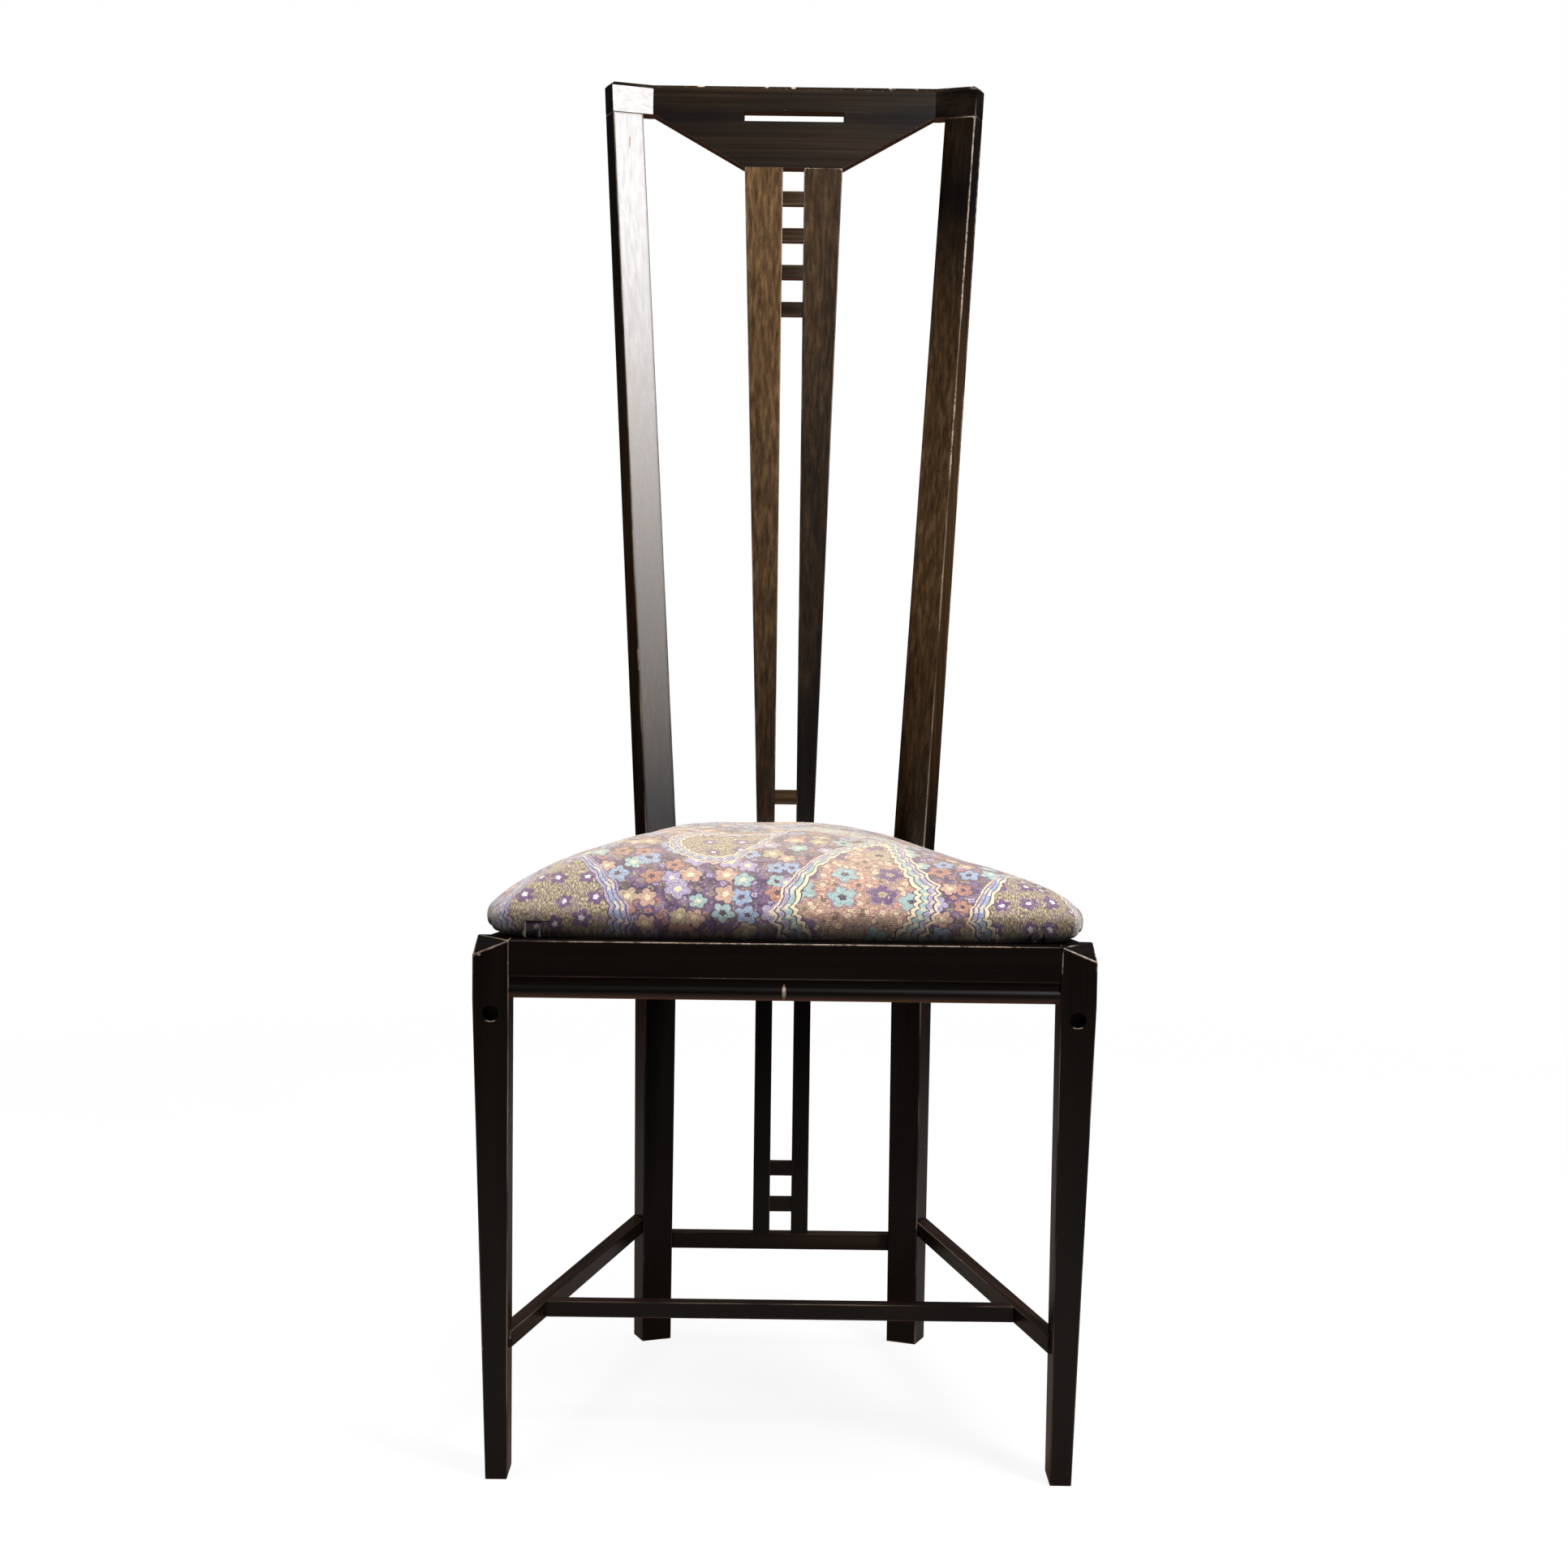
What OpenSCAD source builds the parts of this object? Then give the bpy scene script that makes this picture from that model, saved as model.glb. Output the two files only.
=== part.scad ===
// High back dining chair with a wedge-shaped seat, a ladder of two slats and a winged crest rail.
// The front faces -Y, left and right are as seen from the front, and the floor is Z = 0.

/* [Seat frame] */
// Width over the front legs at seat height
front_w = 475; // [440:1:520]
// Height of the top of the seat rails above the floor
frame_h = 420; // [395:1:440]
// Height of each seat rail
rail_h = 44.5; // [38:0.5:56]
// Thickness of the front rail
front_rail_t = 22; // [19:0.5:26]
// Thickness of the side rails and of the rear rail
rail_t = 17; // [15:0.5:19]
// Height of the rounded bead along the lower edge of the front and side rails
bead_h = 12; // [9:0.5:14]
// Height of the sunken band above the bead
quirk_h = 5; // [3:0.5:8]
// Depth of the sunken band
quirk_deep = 2.6; // [1:0.2:4]

/* [Front legs] */
// Width of a front leg at the rails
leg_w = 27.8; // [25:0.2:34]
// Depth of a front leg, front to back
leg_d = 35; // [30:0.5:42]
// Width of a front foot on the floor
foot_w = 16.8; // [14:0.2:24]
// How far the foot's front face stands behind the leg's front face
foot_setback = 5; // [0:0.5:8]
// How far the foot's back face stands behind the leg's back face
foot_kick = 4; // [0:0.5:6]
// Drop of the sloping facet at the leg's outer top corner
facet_drop = 11.5; // [6:0.5:14]
// Diameter of the blind round hole in the front of each front leg
hole_d = 12.4; // [8:0.2:14]
// Depth of the blind round hole
hole_deep = 14; // [6:0.5:20]
// Distance from the underside of the rails down to the hole's centre
hole_drop = 11.5; // [8:0.5:30]

/* [Rear posts] */
// Distance between the rear posts' outer front edges at the seat
rear_w = 251.4; // [235:0.2:275]
// Distance from the chair's front face back to those edges
post_y = 367.6; // [340:0.2:400]
// Turn of each rear post about its upright axis, so that its main face looks inward, in degrees
post_turn = 22.1; // [18:0.1:26]
// Width of a rear post's main face at the seat
post_w = 29.8; // [27:0.2:34]
// Width of the main face on the floor
post_foot_w = 28; // [24:0.2:29.8]
// Width of the main face under the crest rail
post_top_w = 29.6; // [26:0.2:29.8]
// Depth of a rear post at the seat
post_d = 30.7; // [29:0.1:36]
// Depth of a rear post on the floor
post_foot_d = 24.5; // [22:0.1:28]
// Depth of a rear post under the crest rail
post_top_d = 23; // [22:0.1:28]
// Height above the seat rails at which the posts and slats start to lean back
kink_rise = 30; // [22:1:60]
// Lean of the posts above the kink, towards their own backs, in degrees
post_lean = 9.5; // [8:0.1:10.5]

/* [Crest rail] */
// Height of the whole chair
chair_h = 1165; // [1120:1:1230]
// Height of the crest rail's wings over the posts
wing_h = 28.5; // [26:0.5:45]
// Height of the crest rail in the middle
crest_h = 77.3; // [70:0.1:95]
// Thickness of the crest rail
crest_t = 22.5; // [20:0.1:26]
// Length of the crest rail's flat lower edge
crest_low_w = 94; // [93:0.5:120]
// Length of the short level stretch under each wing, inside the post
overhang_w = 9.5; // [4:0.5:16]
// Width of the sloping edge along the crest rail's front top corner
top_slope = 4.5; // [2:0.1:6]
// Length of the slot in the crest rail
slot_w = 93.6; // [70:0.2:110]
// Height of the slot
slot_h = 9.6; // [8:0.1:14]
// Distance from the crest rail's top down to the slot
slot_drop = 23.9; // [20:0.1:28]

/* [Slats and rungs] */
// Lean of the slats and the crest rail from upright, in degrees
back_lean = 8.35; // [7:0.05:9.5]
// Distance from the chair's front face back to the slats' front faces at the seat
slat_y = 388; // [386:0.2:390]
// Thickness of a slat
slat_t = 10; // [8:0.2:11]
// Width of a slat below the kink
slat_w = 15.5; // [14:0.1:20]
// Width of a slat at the crest rail
slat_top_w = 36; // [28:0.1:37]
// Gap between the two slats
slat_gap = 19.8; // [14:0.1:20]
// Height of a rung
rung_h = 13.1; // [9:0.1:15]
// Depth of a rung, front to back
rung_d = 8; // [7:0.1:8.5]
// How far a rung stands back from the slats' front faces
rung_setback = 1; // [0.5:0.1:1.5]
// Height of each square opening between the upper rungs
rung_gap = 22.1; // [18:0.1:26]
// Height of the lower rung's front bottom edge above the seat rails
low_rung_rise = 76.2; // [65:0.1:200]
// Height of each opening between the rungs under the seat
under_gap = 20.6; // [16:0.1:26]

/* [Stretchers] */
// Height of the side stretchers' and cross stretcher's undersides above the floor
stretcher_z = 100.8; // [80:0.1:150]
// Width and height of the side stretchers and the cross stretcher
stretcher_t = 13; // [11:0.1:16]
// Distance from the chair's front face back to the cross stretcher's middle
cross_y = 105.3; // [85:0.1:200]
// Height of the rear stretcher's underside above the floor
rear_z = 82.5; // [60:0.1:110]
// Height of the rear stretcher
rear_h = 14.6; // [12:0.1:18]
// Depth of the rear stretcher, front to back
rear_d = 14.4; // [13:0.1:15]
// How far the side stretchers are let into the front legs
leg_housing = 18; // [10:0.5:22]

/* [Seat] */
// Margin of the seat frame left bare in front of the seat pad
seat_front_margin = 15; // [10:0.5:18]
// Margin left bare at each side of the seat pad
seat_side_margin = 1.5; // [0.5:0.1:4]
// Gap between the seat pad and the rear posts and slats
seat_back_gap = 2; // [1:0.1:4]
// Height of the pad's upright side
pad_side_h = 21; // [16:0.5:28]
// Height of the pad's crown above its side
pad_crown = 50; // [30:0.5:60]
// Thickness of the seat board
board_t = 12; // [9:0.5:15]
// Thickness of the cloth cover
cover_t = 1.5; // [1:0.1:2]
// Thickness of the dust cover under the seat
dust_t = 0.6; // [0.4:0.1:1]

/* [Joints and fasteners] */
// Clearance all round each tenon, dowel and peg in its hole
fit_gap = 0.1; // [0.05:0.01:0.2]
// Length of the rails' tenons
tenon_len = 14; // [10:0.5:15]
// Thickness of the rails' tenons
tenon_t = 7; // [6:0.5:8]
// Length of the stretchers' stub tenons
stub_len = 7; // [5:0.5:8]
// Diameter of the dowels between posts and crest rail
dowel_d = 8; // [6:0.5:9]
// Length of those dowels
dowel_len = 34; // [28:1:36]
// Diameter of the pegs at the rungs' ends
peg_d = 5; // [4:0.5:6]
// Length of those pegs
peg_len = 6; // [4:0.5:9]
// Length of each front corner block along the front rail
block_w = 44; // [40:1:48]
// Length of each rear corner block along the rear rail
rear_block_w = 54; // [50:1:58]
// Height of the corner blocks
block_h = 26; // [22:0.5:32]
// Diameter of the wood screws' shanks
screw_d = 4; // [3.5:0.1:4.5]
// Diameter of the wood screws' heads
screw_head_d = 8; // [7:0.2:9]
// Length of a staple's crown
staple_w = 10; // [8:0.5:12]
// Thickness of a staple's wire
wire_d = 0.8; // [0.6:0.1:1]

/* [Hidden] */
$fn = 48;

dark_wood = "#3a2d26";
raw_wood = "#b99b6b";
cloth_colour = "#8d7f93";
foam_colour = "#e8dcb0";
steel_colour = "#9a9a9a";
black_cloth = "#202020";

// Overrun of every cut past the face that it leaves through
cut_over = 1;
// Half-size of the blocks that slice a whole piece
slice_size = 300;
// Wood left above and below each rail tenon
tenon_shoulder = 6;
// Wood left around each slat tenon on its wide and narrow sides
slat_shoulder = 3;
slat_cheek = 2;
// Length of the slats' tenons into the crest rail and into the rear stretcher
slat_tenon_up = 16;
slat_tenon_down = 8;
// How far the rear rail's front face lies in front of the slats
rear_rail_lead = 8.5;
// Width of the level top left at each end of a front leg's facet
facet_land = 0.8;
// How far the side rails' centres lie inside the front legs' centres
side_rail_inset = 4.8;
// How far the corner blocks stay below the rails' tops and clear of the posts
block_drop = 1.5;
block_gap = 0.3;
// Lengths of the front and rear corner blocks along the side rails
block_run = 46;
rear_block_run = 60;
// Depth of the counterbore, the screw's length and the height of its head
screw_sink = 9;
screw_len = 20;
head_h = 3;
// How far the seat screws stand inside the blocks' sloping faces
seat_screw_inset = 6;
// Length of the screws that hold the seat board, below their heads
seat_screw_len = 30;
// Clearance between soft solids and their neighbours
soft_gap = 0.3;
// Number of staples round the dust cover, the length of their legs and how far inside the hem they stand
staple_count = 22;
staple_leg = 7;
staple_inset = 4;
// Distance from the dust cover's edge to the side rails, and how far the cloth hem laps over it
dust_margin = 1.5;
hem_lap = 4;
// Sharpness of the pad's plan corners: a larger power gives a sharper corner
corner_power = 34;
// Number of points round the pad
pad_points = 44;
// Shapes of the dome, as powers of the distance from the middle
dome_power = 3.6;
dome_root = 0.85;
// Place of the pad's middle, as a share of its depth
pad_middle_share = 0.5;
// Distances from the middle at which the dome's rings lie
dome_shares = [0.985, 0.955, 0.91, 0.84, 0.74, 0.6, 0.42, 0.22];
// Heights of the rings up the pad's upright side, and how far each is drawn in
side_shares = [0, 0.12, 0.4, 0.75, 1];
side_draw_shares = [1, 0.45, 0, 0.1, 0.55];
// Greatest distance by which the pad's side is drawn in
side_draw = 2.4;

half_w = front_w / 2;
leg_in = half_w - leg_w;
rail_z = frame_h - rail_h;
kink_h = frame_h + kink_rise;
joint_h = chair_h - wing_h;
crest_z = chair_h - crest_h;
rear_top = rear_z + rear_h;
slat_in = slat_gap / 2;
lean_cos = cos(back_lean);
// Post directions in plan: along its main face to the middle, and straight back from that face
post_in = [cos(post_turn), sin(post_turn)];
post_back = [-sin(post_turn), cos(post_turn)];
post_edge = [-rear_w / 2, post_y];
post_shift = (joint_h - kink_h) * tan(post_lean);
post_top_edge = post_edge + post_back * post_shift;
whole_depth = back_y(chair_h) + crest_t;

// Front face of slats and crest rail at a height
function back_y(z) = slat_y + max(0, z - kink_h) * tan(back_lean);
// Outer edge of a slat at a height
function slat_out(z) = slat_in + slat_w + (slat_top_w - slat_w) * max(0, z - kink_h) / (crest_z - kink_h);
// Width and depth of a rear post at a height below the kink
function post_width(z) = post_foot_w + (post_w - post_foot_w) * min(1, z / rail_z);
function post_depth(z) = post_foot_d + (post_d - post_foot_d) * min(1, z / rail_z);
function unit(v) = v / norm(v);
function turned(v) = [v[1], -v[0]];
function wedge(a, b) = a[0] * b[1] - a[1] * b[0];
// Where the line through p along d meets the line through q along e
function meet(p, d, q, e) = p + d * wedge(q - p, e) / wedge(d, e);
function mirrored(points) = [for (p = points) [-p[0], p[1]]];
function total(v, i = 0) = i == len(v) ? 0 : v[i] + total(v, i + 1);
function middle(a, b) = (a + b) / 2;

// Plan of the left side rail: from the leg's back face to the middle of the post's outer face
rail_start = [-(half_w - leg_w / 2 - side_rail_inset), leg_d];
rail_end = post_edge + post_back * post_d / 2;
rail_run = unit(rail_end - rail_start);
rail_side = turned(rail_run);
rail_in_face = rail_start + rail_side * rail_t / 2;
rail_out_face = rail_start - rail_side * rail_t / 2;

// Plan of the left side stretcher: from the leg's inner rear corner to the post's outer face
stretch_start = [-leg_in, leg_d];
stretch_end = post_edge + post_back * post_depth(stretcher_z + stretcher_t / 2) / 2;
stretch_run = unit(stretch_end - stretch_start);
stretch_side = turned(stretch_run);
stretch_in_face = stretch_start + stretch_side * stretcher_t / 2;
stretch_out_face = stretch_start - stretch_side * stretcher_t / 2;
cross_half_w = -meet([0, cross_y], [1, 0], stretch_in_face, stretch_run)[0];

// The origin is on the floor under the middle of the chair's box
module in_frame() {
    translate([0, -whole_depth / 2, 0]) children();
}

module right_hand() {
    mirror([1, 0, 0]) children();
}

// An outline drawn in X and Z, made solid from y_front to y_back
module front_view(points, y_front, y_back) {
    translate([0, y_back, 0])
        rotate([90, 0, 0])
            linear_extrude(y_back - y_front) polygon(points);
}

// An outline drawn in Y and Z, made solid from x_low to x_high
module side_view(points, x_low, x_high) {
    translate([x_low, 0, 0])
        rotate([90, 0, 90])
            linear_extrude(x_high - x_low) polygon(points);
}

// An outline drawn in X and Y, made solid from z_low to z_high
module plan_view(points, z_low, z_high) {
    translate([0, 0, z_low]) linear_extrude(z_high - z_low) polygon(points);
}

// A bar that starts at a plan point and runs along a plan direction, centred on that line
module plan_bar(start, run, len, width, z_low, z_high) {
    translate([start[0], start[1], z_low])
        rotate([0, 0, atan2(run[1], run[0])])
            translate([0, -width / 2, 0])
                cube([len, width, z_high - z_low]);
}

module post_frame() {
    translate([post_edge[0], post_edge[1], 0]) rotate([0, 0, post_turn]) children();
}

// Tenons are drawn once, and again with a gap for the hole that takes them
module front_rail_tenon(gap) {
    y_front = (front_rail_t - tenon_t) / 2;
    translate([-leg_in - tenon_len - gap, y_front - gap, rail_z + tenon_shoulder - gap])
        cube([tenon_len + gap + cut_over, tenon_t + 2 * gap, rail_h - 2 * tenon_shoulder + 2 * gap]);
}

module side_rail_tenon_front(gap) {
    plan_bar(
        rail_start + rail_run * cut_over, -rail_run, tenon_len + cut_over + gap, tenon_t + 2 * gap,
        rail_z + tenon_shoulder - gap, frame_h - tenon_shoulder + gap
    );
}

module side_rail_tenon_rear(gap) {
    plan_bar(
        rail_end - rail_run * cut_over, rail_run, tenon_len + cut_over + gap, tenon_t + 2 * gap,
        rail_z + tenon_shoulder - gap, frame_h - tenon_shoulder + gap
    );
}

rear_rail_y = slat_y - rear_rail_lead;
rear_rail_mid = rear_rail_y + rail_t / 2;
rear_shoulder = -meet([0, rear_rail_mid], [1, 0], post_edge + post_in * post_w, post_back)[0];

module rear_rail_tenon(gap) {
    y_front = rear_rail_mid - tenon_t / 2;
    translate([-rear_shoulder - tenon_len - gap, y_front - gap, rail_z + tenon_shoulder - gap])
        cube([
            tenon_len + tenon_t + gap, tenon_t + 2 * gap,
            rail_h - 2 * tenon_shoulder + 2 * gap
        ]);
}

rear_stretch_mid = slat_y + rear_d / 2;
rear_stretch_edge = post_edge + post_in * post_width(rear_top);
rear_stretch_half = -meet([0, rear_stretch_mid], [1, 0], rear_stretch_edge, post_back)[0];

module rear_stretcher_tenon(gap) {
    y_front = rear_stretch_mid - rear_d / 4;
    translate([-rear_stretch_half - stub_len - gap, y_front - gap, rear_z + rear_h / 4 - gap])
        cube([2 * stub_len + gap, rear_d / 2 + 2 * gap, rear_h / 2 + 2 * gap]);
}

module side_stretcher_tenon(gap) {
    plan_bar(
        stretch_end - stretch_run * stub_len, stretch_run, 2 * stub_len + gap, stretcher_t / 2 + 2 * gap,
        stretcher_z + stretcher_t / 4 - gap, stretcher_z + stretcher_t * 3 / 4 + gap
    );
}

module cross_stretcher_tenon(gap) {
    thick = stretcher_t / 2;
    translate([-cross_half_w - stub_len - gap, cross_y - thick / 2 - gap, stretcher_z + thick / 2 - gap])
        cube([2 * stub_len + gap, thick + 2 * gap, thick + 2 * gap]);
}

// The stretch of a left slat between two heights, with its edges and faces cut back
module slat_blank(edge_cut, face_cut, z_low, z_high) {
    // The bend only matters to a stretch that reaches past it
    bend = z_high > kink_h && z_low < kink_h ? [kink_h] : [];
    rises = concat([z_low], bend, [z_high]);
    falls = concat([z_high], bend, [z_low]);
    intersection() {
        front_view(
            concat(
                [for (z = rises) [-slat_in - edge_cut, z]],
                [for (z = falls) [-slat_out(z) + edge_cut, z]]
            ),
            0, whole_depth
        );
        side_view(
            concat(
                [for (z = rises) [back_y(z) + face_cut, z]],
                [for (z = falls) [back_y(z) + slat_t - face_cut, z]]
            ),
            -half_w, half_w
        );
    }
}

module slat_tenon_upper(gap) {
    tip_z = crest_z + slat_tenon_up;
    slat_blank(slat_shoulder - gap, slat_cheek - gap, crest_z - cut_over, tip_z + gap);
}

module slat_tenon_lower(gap) {
    tip_z = rear_top - slat_tenon_down;
    slat_blank(slat_shoulder - gap, slat_cheek - gap, tip_z - gap, rear_top + cut_over);
}

// Rungs are drawn in the slats' own lean, from the height of their front top edge
module in_back_plane(z) {
    lean = z > kink_h ? back_lean : 0;
    translate([0, back_y(z), z]) rotate([-lean, 0, 0]) children();
}

module rung_peg(gap) {
    translate([-slat_in - peg_len - gap, rung_setback + rung_d / 2, -rung_h / 2])
        rotate([0, 90, 0])
            cylinder(d = peg_d + 2 * gap, h = 2 * (slat_in + peg_len + gap));
}

module rung(z) {
    color(dark_wood) in_frame() in_back_plane(z) {
        translate([-slat_in, rung_setback, -rung_h]) cube([slat_gap, rung_d, rung_h]);
        rung_peg(0);
    }
}

rung_pitch = rung_h + rung_gap;
upper_rungs = [for (i = [1:4]) crest_z - i * rung_gap * lean_cos - (i - 1) * rung_h * lean_cos];
low_rung_top = frame_h + low_rung_rise + rung_h * lean_cos;
under_rungs = [for (i = [1:2]) rear_top + i * (under_gap + rung_h)];
all_rungs = concat(upper_rungs, [low_rung_top], under_rungs);

module slat() {
    difference() {
        union() {
            slat_blank(0, 0, rear_top, crest_z);
            slat_tenon_upper(0);
            slat_tenon_lower(0);
        }
        for (z = all_rungs) in_back_plane(z) rung_peg(fit_gap);
    }
}

module slat_left() {
    color(dark_wood) in_frame() slat();
}

module slat_right() {
    color(dark_wood) in_frame() right_hand() slat();
}

module front_leg_blank() {
    intersection() {
        front_view(
            [
                [-leg_in, 0], [-leg_in, frame_h], [-half_w, frame_h],
                [-half_w, rail_z], [-leg_in - foot_w, 0]
            ],
            0, leg_d + foot_kick
        );
        side_view(
            [
                [foot_setback, 0], [0, rail_z], [0, frame_h],
                [leg_d, frame_h], [leg_d, rail_z], [leg_d + foot_kick, 0]
            ],
            -half_w, -leg_in
        );
    }
}

// The facet falls from a line close to the inner front and outer rear corners of the leg's top
facet_turn = atan2(leg_d, leg_w);
facet_fall = atan2(facet_drop, leg_w * sin(facet_turn));

module leg_facet() {
    translate([-leg_in - facet_land, 0, frame_h])
        rotate([0, 0, 180 - facet_turn])
            rotate([-facet_fall, 0, 0])
                translate([-slice_size, 0, 0])
                    cube([2 * slice_size, slice_size, slice_size]);
}

module leg_hole() {
    translate([-leg_in - leg_w / 2, -cut_over, rail_z - hole_drop])
        rotate([-90, 0, 0])
            cylinder(d = hole_d, h = hole_deep + cut_over);
}

module front_leg() {
    difference() {
        front_leg_blank();
        leg_facet();
        leg_hole();
        front_rail_tenon(fit_gap);
        side_rail_tenon_front(fit_gap);
        side_stretcher_body(fit_gap);
    }
}

module front_leg_left() {
    color(dark_wood) in_frame() front_leg();
}

module front_leg_right() {
    color(dark_wood) in_frame() right_hand() front_leg();
}

// Each post is the meeting of its two tapered outlines, drawn in the post's own turned frame
module rear_post_blank() {
    post_frame() intersection() {
        front_view(
            [
                [0, 0], [0, joint_h], [post_top_w, joint_h],
                [post_w, kink_h], [post_w, rail_z], [post_foot_w, 0]
            ],
            0, post_shift + post_d
        );
        side_view(
            [
                [0, 0], [0, kink_h], [post_shift, joint_h], [post_shift + post_top_d, joint_h],
                [post_d, kink_h], [post_d, rail_z], [post_foot_d, 0]
            ],
            0, post_w
        );
    }
}

// Two dowels stand in each joint between post and crest rail
dowel_in_shares = [0.27, 0.73];

module left_dowels(gap) {
    for (share = dowel_in_shares) {
        spot = post_top_edge + post_in * post_top_w * share + post_back * post_top_d / 2;
        translate([spot[0], spot[1], joint_h - dowel_len / 2 - gap])
            cylinder(d = dowel_d + 2 * gap, h = dowel_len + 2 * gap);
    }
}

module rear_post() {
    difference() {
        rear_post_blank();
        rear_rail_tenon(fit_gap);
        side_rail_tenon_rear(fit_gap);
        rear_stretcher_tenon(fit_gap);
        side_stretcher_tenon(fit_gap);
        left_dowels(fit_gap);
    }
}

module rear_post_left() {
    color(dark_wood) in_frame() rear_post();
}

module rear_post_right() {
    color(dark_wood) in_frame() right_hand() rear_post();
}

// Section of the moulded rails, from the outer face inward: flat band, sunken band and round bead
module rail_section(thick) {
    bead_r = bead_h / 2;
    translate([0, bead_h + quirk_h]) square([thick, rail_h - bead_h - quirk_h]);
    translate([quirk_deep, bead_r]) square([thick - quirk_deep, bead_r + quirk_h]);
    translate([bead_r, 0]) square([thick - bead_r, bead_h]);
    translate([bead_r, bead_r]) circle(r = bead_r);
}

module front_rail() {
    color(dark_wood) in_frame() difference() {
        union() {
            translate([-leg_in, 0, rail_z])
                rotate([90, 0, 90])
                    linear_extrude(2 * leg_in) rail_section(front_rail_t);
            front_rail_tenon(0);
            right_hand() front_rail_tenon(0);
        }
        left_block_screws(fit_gap);
        right_hand() left_block_screws(fit_gap);
    }
}

side_rail_plan = [
    meet(rail_in_face, rail_run, rail_start, [1, 0]),
    meet(rail_out_face, rail_run, rail_start, [1, 0]),
    meet(rail_out_face, rail_run, post_edge, post_back),
    meet(rail_in_face, rail_run, post_edge, post_back)
];

module side_rail() {
    difference() {
        side_rail_blank();
        left_block_screws(fit_gap);
    }
}

module side_rail_blank() {
    intersection() {
        plan_view(side_rail_plan, rail_z, frame_h);
        // The section runs the length of the rail, with its moulded face outward
        translate([rail_out_face[0], rail_out_face[1], rail_z])
            rotate([0, 0, atan2(rail_run[1], rail_run[0]) - 90])
                translate([0, norm(rail_end - rail_start) + rail_t, 0])
                    rotate([90, 0, 0])
                        linear_extrude(norm(rail_end - rail_start) + 2 * rail_t) rail_section(rail_t);
    }
    side_rail_tenon_front(0);
    side_rail_tenon_rear(0);
}

module side_rail_left() {
    color(dark_wood) in_frame() side_rail();
}

module side_rail_right() {
    color(dark_wood) in_frame() right_hand() side_rail();
}

rear_rail_ends = [
    meet([0, rear_rail_y], [1, 0], post_edge + post_in * post_w, post_back),
    meet([0, rear_rail_y + rail_t], [1, 0], post_edge + post_in * post_w, post_back)
];

module rear_rail() {
    color(dark_wood) in_frame() difference() {
        union() {
            plan_view(
                [
                    rear_rail_ends[0], mirrored(rear_rail_ends)[0],
                    mirrored(rear_rail_ends)[1], rear_rail_ends[1]
                ],
                rail_z, frame_h
            );
            rear_rail_tenon(0);
            right_hand() rear_rail_tenon(0);
        }
        // Open housings in the rear face take the slats
        for (hand = [0, 1]) mirror([hand, 0, 0])
            translate([-slat_out(rail_z) - fit_gap, slat_y, rail_z - cut_over])
                cube([slat_w + 2 * fit_gap, rail_t, rail_h + 2 * cut_over]);
        left_block_screws(fit_gap);
        right_hand() left_block_screws(fit_gap);
    }
}

// Plan of the crest rail at joint height: a straight middle and two wings flush with the posts
crest_y = back_y(joint_h);
crest_bend = meet(post_top_edge, post_in, [0, crest_y], [1, 0]);
// The plan runs past the posts and is cut back flush with their outer faces
crest_tip = post_top_edge - post_in * crest_t / 2;
crest_back = crest_y + crest_t;
crest_back_bend = [crest_bend[0] - crest_t * tan(post_turn / 2), crest_back];
crest_back_tip = crest_tip + post_back * crest_t;
crest_plan = concat(
    [crest_tip, crest_bend],
    mirrored([crest_bend, crest_tip, crest_back_tip, crest_back_bend]),
    [crest_back_bend, crest_back_tip]
);
// Where the overhang under the wing turns down into the sloping edge
overhang_x = -(post_top_edge + post_in * post_top_w)[0] - overhang_w;

// Plan shapes are stood in the leaning plane of the back, which turns about the joint line
module crest_lean(points, z_low, z_high) {
    translate([0, crest_y, joint_h])
        rotate([-back_lean, 0, 0])
            translate([0, 0, z_low])
                linear_extrude(z_high - z_low)
                    polygon([for (p = points) [p[0], (p[1] - crest_y) * lean_cos]]);
}

module crest_blank() {
    intersection() {
        crest_lean(crest_plan, -2 * crest_h, 2 * crest_h);
        front_view(
            [
                [-half_w, joint_h], [-overhang_x, joint_h], [-crest_low_w / 2, crest_z],
                [crest_low_w / 2, crest_z], [overhang_x, joint_h], [half_w, joint_h],
                [half_w, chair_h], [-half_w, chair_h]
            ],
            0, whole_depth + crest_t
        );
        crest_reach = [post_edge, post_edge + post_back * slice_size];
        plan_view(
            [crest_reach[0], mirrored(crest_reach)[0], mirrored(crest_reach)[1], crest_reach[1]],
            crest_z - cut_over, chair_h + cut_over
        );
    }
}

// A sloping cut along a top edge that starts at a point and runs with the wood on its left
module top_slope_cut(start, run, len) {
    translate([start[0], start[1], chair_h])
        rotate([0, 0, atan2(run[1], run[0])])
            translate([0, top_slope * cos(45), 0])
                rotate([45, 0, 0])
                    translate([0, -2 * top_slope, 0])
                        cube([len, 4 * top_slope, 2 * top_slope]);
}

// The crest rail's front edge at its top, where the lean has carried it back
top_rise = [0, back_y(chair_h) - crest_y];
slope_wrap = top_slope * tan(post_turn / 2);

module crest_slopes() {
    top_bend = crest_bend + top_rise;
    top_slope_cut(top_bend - [slope_wrap, 0], [1, 0], -2 * crest_bend[0] + 2 * slope_wrap);
    for (hand = [0, 1]) mirror([hand, 0, 0]) {
        top_slope_cut(
            crest_tip + top_rise - post_in * crest_t,
            post_in,
            norm(crest_bend - crest_tip) + crest_t + slope_wrap
        );
        top_slope_cut(post_top_edge + post_back * 2 * crest_t, -post_back, 3 * crest_t);
    }
}

slot_top = chair_h - slot_drop;
slot_z = slot_top - slot_h;

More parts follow.
